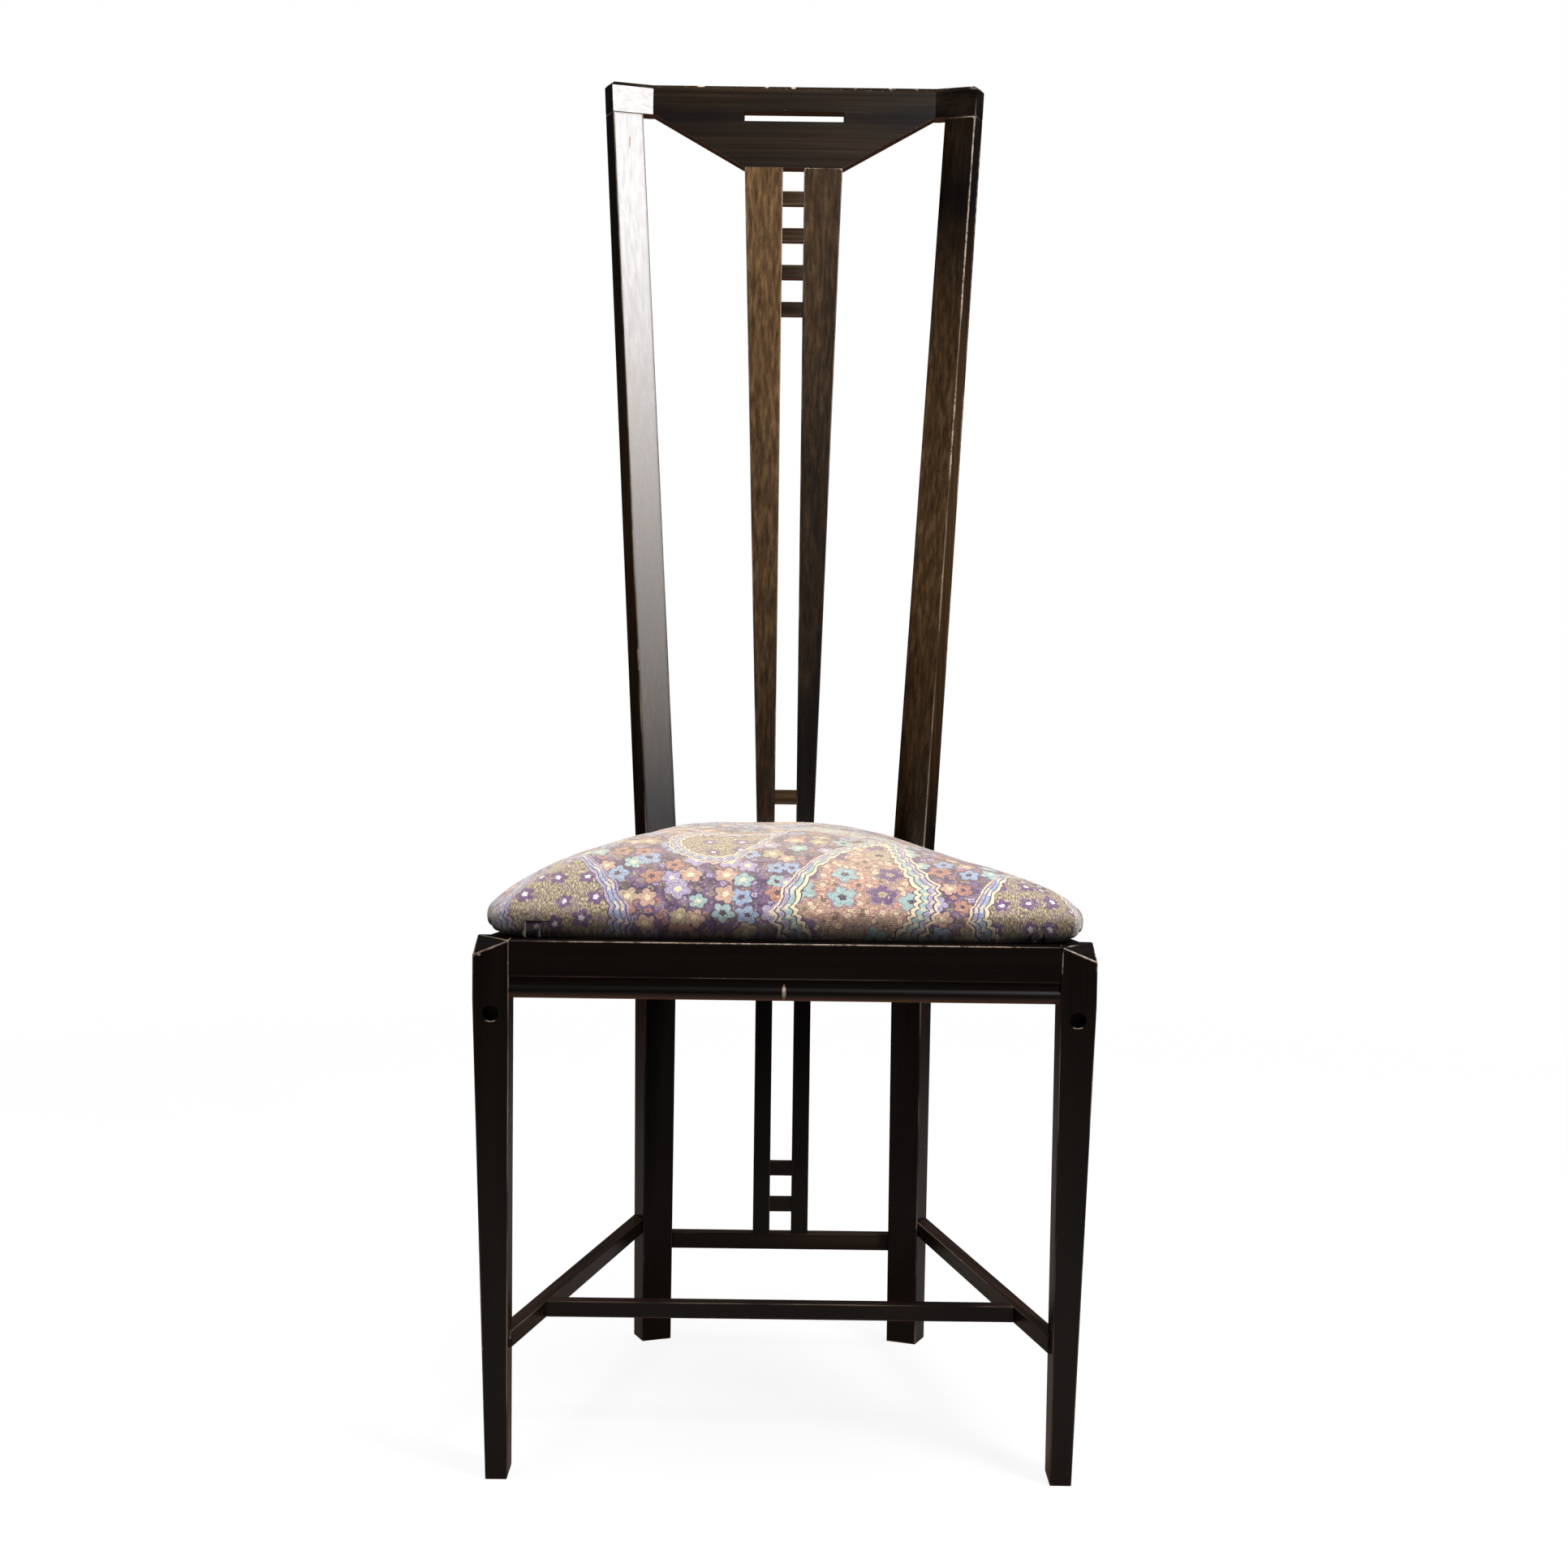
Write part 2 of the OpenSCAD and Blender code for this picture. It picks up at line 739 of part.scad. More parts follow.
module crest_slot() {
    translate([-slot_w / 2, crest_y - 2 * crest_t, slot_z])
        cube([slot_w, 4 * crest_t, slot_h]);
}

module crest_rail() {
    color(dark_wood) in_frame() difference() {
        crest_blank();
        crest_slopes();
        crest_slot();
        for (hand = [0, 1]) mirror([hand, 0, 0]) {
            left_dowels(fit_gap);
            slat_tenon_upper(fit_gap);
        }
    }
}

module crest_dowels() {
    color(raw_wood) in_frame() {
        left_dowels(0);
        right_hand() left_dowels(0);
    }
}

module upper_rung_1() { rung(upper_rungs[0]); }
module upper_rung_2() { rung(upper_rungs[1]); }
module upper_rung_3() { rung(upper_rungs[2]); }
module upper_rung_4() { rung(upper_rungs[3]); }
module lower_rung() { rung(low_rung_top); }
module under_rung_1() { rung(under_rungs[0]); }
module under_rung_2() { rung(under_rungs[1]); }

// The side stretcher is let into the leg's inner rear corner and scribed to the post
module side_stretcher_body(gap) {
    front = stretch_start - stretch_run * (leg_housing + gap);
    half = stretch_side * (stretcher_t / 2 + gap);
    plan_view(
        [
            front + half, front - half,
            meet(stretch_start - half, stretch_run, post_edge, post_back),
            meet(stretch_start + half, stretch_run, post_edge, post_back)
        ],
        stretcher_z - gap, stretcher_z + stretcher_t + gap
    );
}

module side_stretcher() {
    difference() {
        union() {
            side_stretcher_body(0);
            side_stretcher_tenon(0);
        }
        cross_stretcher_tenon(fit_gap);
    }
}

module side_stretcher_left() {
    color(dark_wood) in_frame() side_stretcher();
}

module side_stretcher_right() {
    color(dark_wood) in_frame() right_hand() side_stretcher();
}

module cross_stretcher() {
    front_y = cross_y - stretcher_t / 2;
    back_edge_y = cross_y + stretcher_t / 2;
    ends = [
        meet([0, front_y], [1, 0], stretch_in_face, stretch_run),
        meet([0, back_edge_y], [1, 0], stretch_in_face, stretch_run)
    ];
    color(dark_wood) in_frame() {
        plan_view(
            [ends[0], mirrored(ends)[0], mirrored(ends)[1], ends[1]],
            stretcher_z, stretcher_z + stretcher_t
        );
        cross_stretcher_tenon(0);
        right_hand() cross_stretcher_tenon(0);
    }
}

module rear_stretcher() {
    ends = [
        meet([0, slat_y], [1, 0], rear_stretch_edge, post_back),
        meet([0, slat_y + rear_d], [1, 0], rear_stretch_edge, post_back)
    ];
    color(dark_wood) in_frame() difference() {
        union() {
            plan_view([ends[0], mirrored(ends)[0], mirrored(ends)[1], ends[1]], rear_z, rear_top);
            rear_stretcher_tenon(0);
            right_hand() rear_stretcher_tenon(0);
        }
        slat_tenon_lower(fit_gap);
        right_hand() slat_tenon_lower(fit_gap);
    }
}

// Corner blocks fill the angles of the seat frame
block_top = frame_h - block_drop;
block_z = block_top - block_h;
front_block_plan = [
    [-leg_in, front_rail_t],
    [-leg_in + block_w, front_rail_t],
    meet(rail_in_face, rail_run, [0, leg_d + block_run], [1, 0]),
    side_rail_plan[0],
    [-leg_in, leg_d]
];
// The rear block stands a little clear of the post's main face
post_face = post_edge - post_back * block_gap;
rear_block_side = meet(rail_in_face, rail_run, post_face, post_in);
rear_block_inner = meet([0, rear_rail_y], [1, 0], post_face, post_in);
rear_block_plan = [
    rear_block_inner,
    rear_block_side,
    rear_block_side - rail_run * rear_block_run,
    [rear_rail_ends[0][0] + rear_block_w, rear_rail_y]
];
block_mid_z = (block_z + block_top) / 2;

// One screw runs from a block's sloping face into each of the two rails
function block_spot(a, b, share) = a + (b - a) * share;
front_face_a = front_block_plan[1];
front_face_b = front_block_plan[2];
rear_face_a = rear_block_plan[3];
rear_face_b = rear_block_plan[2];
screw_share = 0.3;
// Each entry: where the screw meets the sloping face, and the direction it is driven
left_screws = [
    [block_spot(front_face_a, front_face_b, screw_share), [0, -1]],
    [block_spot(front_face_b, front_face_a, screw_share), -rail_side],
    [block_spot(rear_face_a, rear_face_b, screw_share), [0, 1]],
    [block_spot(rear_face_b, rear_face_a, screw_share), -rail_side]
];

// Screws are drawn along +Z from the underside of the head, with the head behind it
module screw(len, gap) {
    cylinder(d = screw_d + 2 * gap, h = len + gap);
    translate([0, 0, -head_h]) cylinder(d = screw_head_d + 2 * gap, h = head_h);
}

module driven(spot, run, z) {
    translate([spot[0], spot[1], z])
        rotate([0, 0, atan2(run[1], run[0])])
            rotate([0, 90, 0])
                translate([0, 0, screw_sink])
                    children();
}

module left_block_screws(gap) {
    for (item = left_screws) driven(item[0], item[1], block_mid_z) screw(screw_len, gap);
}

// The way in for each screw's head
module left_screw_ways() {
    for (item = left_screws) driven(item[0], item[1], block_mid_z)
        translate([0, 0, -2 * screw_sink])
            cylinder(d = screw_head_d + 2 * fit_gap, h = 2 * screw_sink);
}

// Upright screws through the blocks hold the seat board
front_screw_spot = middle(front_face_a, front_face_b)
    + turned(unit(front_face_a - front_face_b)) * -seat_screw_inset;
rear_screw_spot = middle(rear_face_a, rear_face_b)
    + turned(unit(rear_face_a - rear_face_b)) * seat_screw_inset;
board_z = frame_h + cover_t;
seat_screw_z = board_z + board_t * 3 / 4 - seat_screw_len;

module left_seat_screws(gap) {
    for (spot = [front_screw_spot, rear_screw_spot])
        translate([spot[0], spot[1], seat_screw_z]) screw(seat_screw_len, gap);
}

module left_seat_screw_ways() {
    way_in = max(0, seat_screw_z - block_z);
    for (spot = [front_screw_spot, rear_screw_spot])
        translate([spot[0], spot[1], block_z - cut_over])
            cylinder(d = screw_head_d + 2 * fit_gap, h = way_in + cut_over);
}

module corner_block(plan) {
    difference() {
        plan_view(plan, block_z, block_top);
        left_block_screws(fit_gap);
        left_screw_ways();
        left_seat_screws(fit_gap);
        left_seat_screw_ways();
    }
}

module corner_block_front_left() {
    color(raw_wood) in_frame() corner_block(front_block_plan);
}

module corner_block_front_right() {
    color(raw_wood) in_frame() right_hand() corner_block(front_block_plan);
}

module corner_block_rear_left() {
    color(raw_wood) in_frame() corner_block(rear_block_plan);
}

module corner_block_rear_right() {
    color(raw_wood) in_frame() right_hand() corner_block(rear_block_plan);
}

module block_screws() {
    color(steel_colour) in_frame() {
        left_block_screws(0);
        right_hand() left_block_screws(0);
    }
}

module seat_screws() {
    color(steel_colour) in_frame() {
        left_seat_screws(0);
        right_hand() left_seat_screws(0);
    }
}

// The pad's plan is set by straight walls, each as an outward angle and a distance from its middle
pad_front = seat_front_margin;
pad_rear = slat_y - seat_back_gap;
pad_mid = [0, pad_front + (pad_rear - pad_front) * pad_middle_share];
dust_inset = rail_t - seat_side_margin + dust_margin;
hem_w = dust_inset + hem_lap;
facet_run = [cos(180 - facet_turn), sin(180 - facet_turn)];
facet_out = [-facet_run[1], facet_run[0]];
pad_walls = [
    [-90, pad_mid[1] - pad_front],
    [90, pad_rear - pad_mid[1]],
    for (wall = [
        [facet_out, [-leg_in, 0]],
        [-rail_side, rail_out_face + rail_side * seat_side_margin],
        [post_back, post_edge - post_back * seat_back_gap]
    ], hand = [1, -1])
        [
            atan2(wall[0][1], wall[0][0] * hand),
            (wall[1] - pad_mid) * wall[0]
        ]
];

// Distance from the pad's middle to its edge at an angle, drawn in by an inset
function pad_reach(angle, inset) = pow(
    total([for (w = pad_walls) pow(max(0, cos(angle - w[0])) / (w[1] - inset), corner_power)]),
    -1 / corner_power
);
function pad_ring(share, inset, z) = [
    for (i = [0:pad_points - 1])
        let (angle = 360 * i / pad_points, r = share * pad_reach(angle, inset))
            [pad_mid[0] + r * cos(angle), pad_mid[1] + r * sin(angle), z]
];
function dome(share) = pow(1 - pow(share, dome_power), dome_root);

// Rings of the pad from a lower height to the crown, drawn in and lowered by a thickness
side_top = frame_h + pad_side_h;
top_draw = side_draw * side_draw_shares[len(side_draw_shares) - 1];
function pad_rings(inset, z_low) = concat(
    [
        for (i = [0:len(side_shares) - 1])
            pad_ring(
                1, inset + side_draw * side_draw_shares[i],
                z_low + (side_top - z_low) * side_shares[i]
            )
    ],
    [
        for (share = dome_shares)
            pad_ring(share, inset + top_draw, side_top + pad_crown * dome(share) - inset)
    ]
);

// A closed skin over rings of points, with a point at each end
module ring_skin(first, rings, last) {
    count = pad_points;
    points = concat([first], [for (ring = rings) for (p = ring) p], [last]);
    end = len(points) - 1;
    faces = concat(
        [for (i = [0:count - 1]) [0, 1 + i, 1 + (i + 1) % count]],
        [
            for (k = [0:len(rings) - 2], i = [0:count - 1], half = [0, 1])
                let (a = 1 + k * count + i, b = 1 + k * count + (i + 1) % count)
                    half == 0 ? [a, a + count, b] : [b, a + count, b + count]
        ],
        [for (i = [0:count - 1]) [end, end - count + (i + 1) % count, end - count + i]]
    );
    polyhedron(points = points, faces = faces);
}

module seat_board() {
    inset = side_draw + cover_t + soft_gap;
    outline = [for (p = pad_ring(1, inset, 0)) [p[0], p[1]]];
    color(raw_wood) in_frame() difference() {
        plan_view(outline, board_z, board_z + board_t);
        for (hand = [0, 1]) mirror([hand, 0, 0]) left_seat_screws(fit_gap);
        staples(fit_gap);
    }
}

foam_z = board_z + board_t + soft_gap;

module seat_foam() {
    rings = pad_rings(cover_t + soft_gap, foam_z);
    color(foam_colour) in_frame() ring_skin(
        [pad_mid[0], pad_mid[1], foam_z], rings,
        [pad_mid[0], pad_mid[1], side_top + pad_crown - cover_t - soft_gap]
    );
}

module seat_cover() {
    outer = pad_rings(0, frame_h);
    inner = pad_rings(cover_t, board_z);
    inner_down = [for (i = [len(inner) - 1:-1:0]) inner[i]];
    color(cloth_colour) in_frame() ring_skin(
        [pad_mid[0], pad_mid[1], side_top + pad_crown - cover_t],
        concat(
            inner_down,
            [pad_ring(1, hem_w, board_z), pad_ring(1, hem_w, frame_h)],
            outer
        ),
        [pad_mid[0], pad_mid[1], side_top + pad_crown]
    );
}

// The dust cover closes the seat from below, inside the rails, and laps under the cloth hem
module dust_cover() {
    outline = [for (p = pad_ring(1, dust_inset, 0)) [p[0], p[1]]];
    color(black_cloth) in_frame() difference() {
        plan_view(outline, frame_h - dust_t, frame_h);
        for (hand = [0, 1]) mirror([hand, 0, 0]) left_seat_screws(fit_gap);
        staples(fit_gap);
    }
}

// Staples hold the dust cover to the seat board, inside the hem
module staple(gap) {
    leg_z = frame_h - dust_t;
    thick = wire_d + 2 * gap;
    for (side = [-1, 1])
        translate([side * (staple_w - wire_d) / 2 - thick / 2, -thick / 2, leg_z - gap])
            cube([thick, thick, staple_leg + 2 * gap]);
    translate([-staple_w / 2 - gap, -thick / 2, leg_z - wire_d])
        cube([staple_w + 2 * gap, thick, wire_d]);
}

module staples(gap) {
    for (i = [0:staple_count - 1]) {
        angle = 360 * (i + 1 / 2) / staple_count;
        reach = pad_reach(angle, hem_w + staple_inset);
        translate([pad_mid[0] + reach * cos(angle), pad_mid[1] + reach * sin(angle), 0])
            rotate([0, 0, angle])
                staple(gap);
    }
}

module dust_cover_staples() {
    color(steel_colour) in_frame() staples(0);
}

front_leg_left();
front_leg_right();
rear_post_left();
rear_post_right();
front_rail();
side_rail_left();
side_rail_right();
rear_rail();
crest_rail();
crest_dowels();
slat_left();
slat_right();
upper_rung_1();
upper_rung_2();
upper_rung_3();
upper_rung_4();
lower_rung();
under_rung_1();
under_rung_2();
side_stretcher_left();
side_stretcher_right();
cross_stretcher();
rear_stretcher();
corner_block_front_left();
corner_block_front_right();
corner_block_rear_left();
corner_block_rear_right();
block_screws();
seat_screws();
seat_board();
seat_foam();
seat_cover();
dust_cover();
dust_cover_staples();
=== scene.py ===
# %% [markdown]
# # A high back dining chair with a paisley seat
# The chair is dressed in this lesson: dark stained wood with worn arrises, a stuffed seat
# under woven cloth, and the small things that hold it together below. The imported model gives
# every shape and place, in metres, with the chair's front towards -Y and the floor at Z = 0.

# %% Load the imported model
import bisect
import math

import bmesh
import bpy
from mathutils import Matrix, Vector, noise
from mathutils.bvhtree import BVHTree


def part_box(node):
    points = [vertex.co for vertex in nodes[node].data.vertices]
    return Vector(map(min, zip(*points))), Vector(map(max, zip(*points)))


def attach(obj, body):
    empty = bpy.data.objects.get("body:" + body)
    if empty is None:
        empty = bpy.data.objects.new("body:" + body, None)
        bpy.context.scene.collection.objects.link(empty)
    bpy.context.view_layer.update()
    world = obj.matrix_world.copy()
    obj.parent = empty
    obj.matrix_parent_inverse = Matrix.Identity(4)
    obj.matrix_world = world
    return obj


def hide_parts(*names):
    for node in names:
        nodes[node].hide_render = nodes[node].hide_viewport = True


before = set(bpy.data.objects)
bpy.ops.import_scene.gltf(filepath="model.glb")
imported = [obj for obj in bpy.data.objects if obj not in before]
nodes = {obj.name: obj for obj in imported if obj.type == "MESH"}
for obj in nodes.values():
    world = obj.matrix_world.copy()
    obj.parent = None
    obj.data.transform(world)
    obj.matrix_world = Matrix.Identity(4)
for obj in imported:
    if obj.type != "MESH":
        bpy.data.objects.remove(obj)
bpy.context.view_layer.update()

scene = bpy.context.scene
MM = 0.001


def add_object(name, data):
    """A new object in the scene."""
    made = bpy.data.objects.new(name, data)
    scene.collection.objects.link(made)
    return made


print("nodes in the frame:", len(nodes))

# %% [markdown]
# ## The camera
# The picture was taken from the front, a little above the seat, with the chair upright in the
# frame. A camera is a place, a direction and a lens. Its matrix can be written straight from
# the three directions right, up and back, which is exact where aiming by hand is not.

# %% Place and aim the camera
PHOTO_SIZE = 1932
FOCAL_PIXELS = 3000
SENSOR = 36.0
# The place and the directions were fitted to the chair's edges in the picture
eye = Vector((-0.0062, -2.0924, 0.6678))
look = Vector((0.0020, 0.9976, -0.0686)).normalized()
right = Vector((0.9999, -0.0011, 0.0129))
right = (right - look * right.dot(look)).normalized()
up = right.cross(look)

camera_data = bpy.data.cameras.new("photo_camera")
camera_data.sensor_width = SENSOR
camera_data.lens = FOCAL_PIXELS / PHOTO_SIZE * SENSOR
camera = add_object("photo_camera", camera_data)
camera.matrix_world = Matrix((
    (right.x, up.x, -look.x, eye.x),
    (right.y, up.y, -look.y, eye.y),
    (right.z, up.z, -look.z, eye.z),
    (0, 0, 0, 1),
))
scene.camera = camera
print("lens in millimetres:", round(camera_data.lens, 2))

# %% [markdown]
# ## Small helpers for node trees
# A material is a tree of nodes, and a pattern is arithmetic on coordinates. These helpers keep
# each step of it to one line: they add a node, feed it numbers or other nodes, and hand back
# its output.

# %% A new material and its colours
def new_material(name):
    """An empty node material with its Principled shader and output."""
    material = bpy.data.materials.new(name)
    material.use_nodes = True
    tree = material.node_tree
    tree.nodes.clear()
    output = tree.nodes.new("ShaderNodeOutputMaterial")
    shader = tree.nodes.new("ShaderNodeBsdfPrincipled")
    tree.links.new(shader.outputs["BSDF"], output.inputs["Surface"])
    return material, tree, shader


def rgba(colour):
    """A colour with the fourth number that a socket wants."""
    return (*colour, 1)


# %% Numbers and vectors
def feed(tree, socket, value):
    """Link a socket to another node's output, or set it to a number or colour."""
    if isinstance(value, bpy.types.NodeSocket):
        tree.links.new(value, socket)
    else:
        socket.default_value = value


def sums(tree, operation, *values, clamp=False):
    """One Math node."""
    node = tree.nodes.new("ShaderNodeMath")
    node.operation = operation
    node.use_clamp = clamp
    for socket, value in zip(node.inputs, values):
        feed(tree, socket, value)
    return node.outputs[0]


def times(tree, *values, clamp=False):
    """The product of two values."""
    return sums(tree, "MULTIPLY", *values, clamp=clamp)


def plus(tree, *values):
    """The sum of two values."""
    return sums(tree, "ADD", *values)


def minus(tree, *values):
    """The first value less the second."""
    return sums(tree, "SUBTRACT", *values)


def swing(tree, pattern, size):
    """A pattern between 0 and 1 turned into an offset to either side of 0."""
    return times(tree, minus(tree, pattern, 0.5), size)


def arrow(tree, operation, *values):
    """One Vector Math node."""
    node = tree.nodes.new("ShaderNodeVectorMath")
    node.operation = operation
    for socket, value in zip(node.inputs, values):
        feed(tree, socket, value)
    return node.outputs["Value"] if operation in ("LENGTH", "DOT_PRODUCT") else node.outputs[0]


def axes(tree, vector):
    """The X, Y and Z of a vector."""
    node = tree.nodes.new("ShaderNodeSeparateXYZ")
    tree.links.new(vector, node.inputs[0])
    return tuple(node.outputs)


def own_place(tree):
    """Where a point lies on its piece."""
    return tree.nodes.new("ShaderNodeTexCoord").outputs["Object"]


# %% Colours, steps, noise and bumps
def blend_colours(tree, share, first, second, way="MIX"):
    """One colour Mix node."""
    node = tree.nodes.new("ShaderNodeMix")
    node.data_type = "RGBA"
    node.blend_type = way
    feed(tree, node.inputs[0], share)
    feed(tree, node.inputs[6], first)
    feed(tree, node.inputs[7], second)
    return node.outputs[2]


def fade(tree, value, low, high, floor_value=0.0, top_value=1.0):
    """A smooth step of a value between two limits."""
    node = tree.nodes.new("ShaderNodeMapRange")
    node.interpolation_type = "SMOOTHSTEP"
    feed(tree, node.inputs["Value"], value)
    feed(tree, node.inputs["From Min"], low)
    feed(tree, node.inputs["From Max"], high)
    feed(tree, node.inputs["To Min"], floor_value)
    feed(tree, node.inputs["To Max"], top_value)
    return node.outputs["Result"]


def speckle(tree, vector, scale, detail=3.0, roughness=0.55, output="Fac"):
    """One Noise node."""
    node = tree.nodes.new("ShaderNodeTexNoise")
    feed(tree, node.inputs["Vector"], vector)
    node.inputs["Scale"].default_value = scale
    node.inputs["Detail"].default_value = detail
    node.inputs["Roughness"].default_value = roughness
    return node.outputs[output]


def steps(tree, value, stops, smooth=True):
    """A colour ramp with stops of place and colour."""
    node = tree.nodes.new("ShaderNodeValToRGB")
    node.color_ramp.interpolation = "LINEAR" if smooth else "CONSTANT"
    ramp = node.color_ramp.elements
    while len(ramp) < len(stops):
        ramp.new(0.5)
    for element, (place, colour) in zip(ramp, stops):
        element.position = place
        element.color = rgba(colour)
    feed(tree, node.inputs["Fac"], value)
    return node.outputs["Color"]


def measure(tree, name):
    """An attribute of the mesh."""
    node = tree.nodes.new("ShaderNodeAttribute")
    node.attribute_name = name
    return node.outputs["Fac"]


def bumped(tree, shader, height, distance, strength):
    """A Bump node on the shader's normal."""
    node = tree.nodes.new("ShaderNodeBump")
    node.inputs["Strength"].default_value = strength
    node.inputs["Distance"].default_value = distance
    feed(tree, node.inputs["Height"], height)
    tree.links.new(node.outputs["Normal"], shader.inputs["Normal"])


# %% [markdown]
# ## The floor and the light
# A studio picture of this kind has a white floor that runs on into white. One big pale disc is
# enough for that. It is almost clear, so its shadows stay faint and little light bounces up
# from it, and it fades away towards its rim, so no horizon shows behind the chair. The seat's
# top is bright and the front legs are almost black, so most of the light comes from above. The
# left post shines white because a window or lamp stands high on the right in front, where that
# face mirrors it.

# %% The floor
FLOOR_RADIUS = 2.4
FLOOR_GREY = (0.8, 0.8, 0.8)
CLEAR_SHARE = 0.90
FADE_FROM, FADE_TO = 0.75, 2.3
bm = bmesh.new()
bmesh.ops.create_circle(bm, cap_ends=True, segments=96, radius=FLOOR_RADIUS)
floor_mesh = bpy.data.meshes.new("studio_floor")
bm.to_mesh(floor_mesh)
bm.free()
floor = add_object("studio_floor", floor_mesh)
floor_material, tree, shader = new_material("pale_floor")
shader.inputs["Base Color"].default_value = rgba(FLOOR_GREY)
shader.inputs["Roughness"].default_value = 0.8
shader.inputs["Specular IOR Level"].default_value = 0.1
from_middle = arrow(tree, "LENGTH", own_place(tree))
clear = tree.nodes.new("ShaderNodeBsdfTransparent")
both = tree.nodes.new("ShaderNodeMixShader")
feed(tree, both.inputs["Fac"], fade(tree, from_middle, FADE_FROM, FADE_TO, CLEAR_SHARE))
tree.links.new(shader.outputs["BSDF"], both.inputs[1])
tree.links.new(clear.outputs["BSDF"], both.inputs[2])
tree.links.new(both.outputs["Shader"], tree.nodes["Material Output"].inputs["Surface"])
floor_mesh.materials.append(floor_material)
print("floor radius in metres:", FLOOR_RADIUS)

# %% The lights
def softbox(name, place, target, width, height, power, colour=(1, 1, 1)):
    """A rectangular lamp at a place, turned to a target."""
    data = bpy.data.lights.new(name, "AREA")
    data.shape = "RECTANGLE"
    data.size = width
    data.size_y = height
    data.energy = power
    data.color = colour
    lamp = add_object(name, data)
    lamp.location = place
    lamp.rotation_euler = (Vector(target) - Vector(place)).to_track_quat("-Z", "Y").to_euler()
    return lamp


overhead = softbox("overhead_light", (0.0, -0.05, 3.0), (0, 0, 0.5), 2.4, 2.2, 150)
# The varnish mirrors the window and the room, but no ceiling light shows along the top edges
overhead.visible_glossy = False

# %% The window
# It is brightest at its top. Each row: a pane's middle height, its height and its power
WINDOW_PANES = [(2.25, 0.60, 50), (1.775, 0.35, 12), (1.375, 0.45, 6.5)]
WINDOW_X, WINDOW_Y, WINDOW_W = 1.24, -1.32, 0.5
WINDOW_TINT = (1, 0.975, 0.97)
LEFT_POST = (-0.13, 0.18, 0.9)
for number, (middle, tall, power) in enumerate(WINDOW_PANES):
    place = (WINDOW_X, WINDOW_Y, middle)
    softbox(f"window_pane_{number}", place, LEFT_POST, WINDOW_W, tall, power, WINDOW_TINT)

# %% The world behind everything
# The room is dark at the chair's own height and a little lighter above, and a brown floor
# gives a warm glow from below. Each stop: 0 straight down to 1 straight up, and the colour
ROOM = [(0.0, (0.36, 0.18, 0.11)), (0.46, (0.010, 0.008, 0.007)), (1.0, (0.07, 0.07, 0.075))]
world = bpy.data.worlds.new("studio_world")
scene.world = world
world.use_nodes = True
tree = world.node_tree
tree.nodes.clear()
_, _, upwards = axes(tree, tree.nodes.new("ShaderNodeTexCoord").outputs["Generated"])
room_light = tree.nodes.new("ShaderNodeBackground")
turned_up = sums(tree, "MULTIPLY_ADD", upwards, 0.5, 0.5)
feed(tree, room_light.inputs["Color"], steps(tree, turned_up, ROOM))
backdrop = tree.nodes.new("ShaderNodeBackground")
backdrop.inputs["Color"].default_value = (1, 1, 1, 1)
seen = tree.nodes.new("ShaderNodeMixShader")
feed(tree, seen.inputs["Fac"], tree.nodes.new("ShaderNodeLightPath").outputs["Is Camera Ray"])
tree.links.new(room_light.outputs["Background"], seen.inputs[1])
tree.links.new(backdrop.outputs["Background"], seen.inputs[2])
output = tree.nodes.new("ShaderNodeOutputWorld")
tree.links.new(seen.outputs["Shader"], output.inputs["Surface"])
scene.view_settings.view_transform = "Standard"
print("nodes in the world:", len(tree.nodes))

# %% [markdown]
# ## The stained wood
# The wood is a close grained hardwood under a dark brown stain and a satin varnish. The
# varnish and stain wear through at the arrises, which then show as thin pale lines. Grain runs
# along each piece, so the same recipe is made once for each direction, by turning the
# pattern's coordinates. Three attributes come from the mesh: arris is 1 on the rounded edges,
# tone says how brown the piece has become, and piece shifts the pattern, so that no two
# pieces are cut from the same spot of a board.

# %% The stained wood's colours
DARK_STAIN = [(0.32, (0.0012, 0.0008, 0.0006)), (0.70, (0.0048, 0.0029, 0.0021))]
BROWN_STAIN = [
    (0.28, (0.030, 0.015, 0.0058)), (0.5, (0.070, 0.038, 0.0150)), (0.72, (0.140, 0.082, 0.035))
]
RUBBED_BARE_AND_LIP_HIGHLIGHT = [(0.3, (0.13, 0.085, 0.055)), (0.7, (0.44, 0.36, 0.29))]
UNDERSIDE_PAINTED_GLOW = (0.115, 0.048, 0.027)
SHOE_SCUFFS = (0.048, 0.025, 0.017)
NICKED = (0.45, 0.36, 0.28)

# %% Where hands and feet have rubbed the arrises bare
# Each row: the middle of a long round region and its half lengths, in metres
RUBBED = [
    # The right post, from its top down, and the crest rail's right end
    ((0.166, 0.207, 1.03), (0.02, 0.04, 0.14)),
    ((0.160, 0.180, 0.83), (0.02, 0.04, 0.06)),
    ((0.157, 0.150, 0.66), (0.02, 0.04, 0.05)),
    ((0.172, 0.232, 1.160), (0.012, 0.014, 0.012)),
    # The left post
    ((-0.135, 0.163, 0.733), (0.02, 0.02, 0.018)),
    ((-0.130, 0.146, 0.628), (0.02, 0.02, 0.014)),
    # The front rail's top and the tops of the front legs
    ((0.0, -0.2577, 0.4195), (0.20, 0.006, 0.003)),
    ((0.222, -0.248, 0.408), (0.030, 0.016, 0.014)),
    ((-0.228, -0.250, 0.412), (0.012, 0.012, 0.012)),
    # The right slat's top corners
    ((0.046, 0.222, 1.083), (0.006, 0.01, 0.006)),
    ((0.013, 0.222, 1.083), (0.004, 0.01, 0.006)),
]
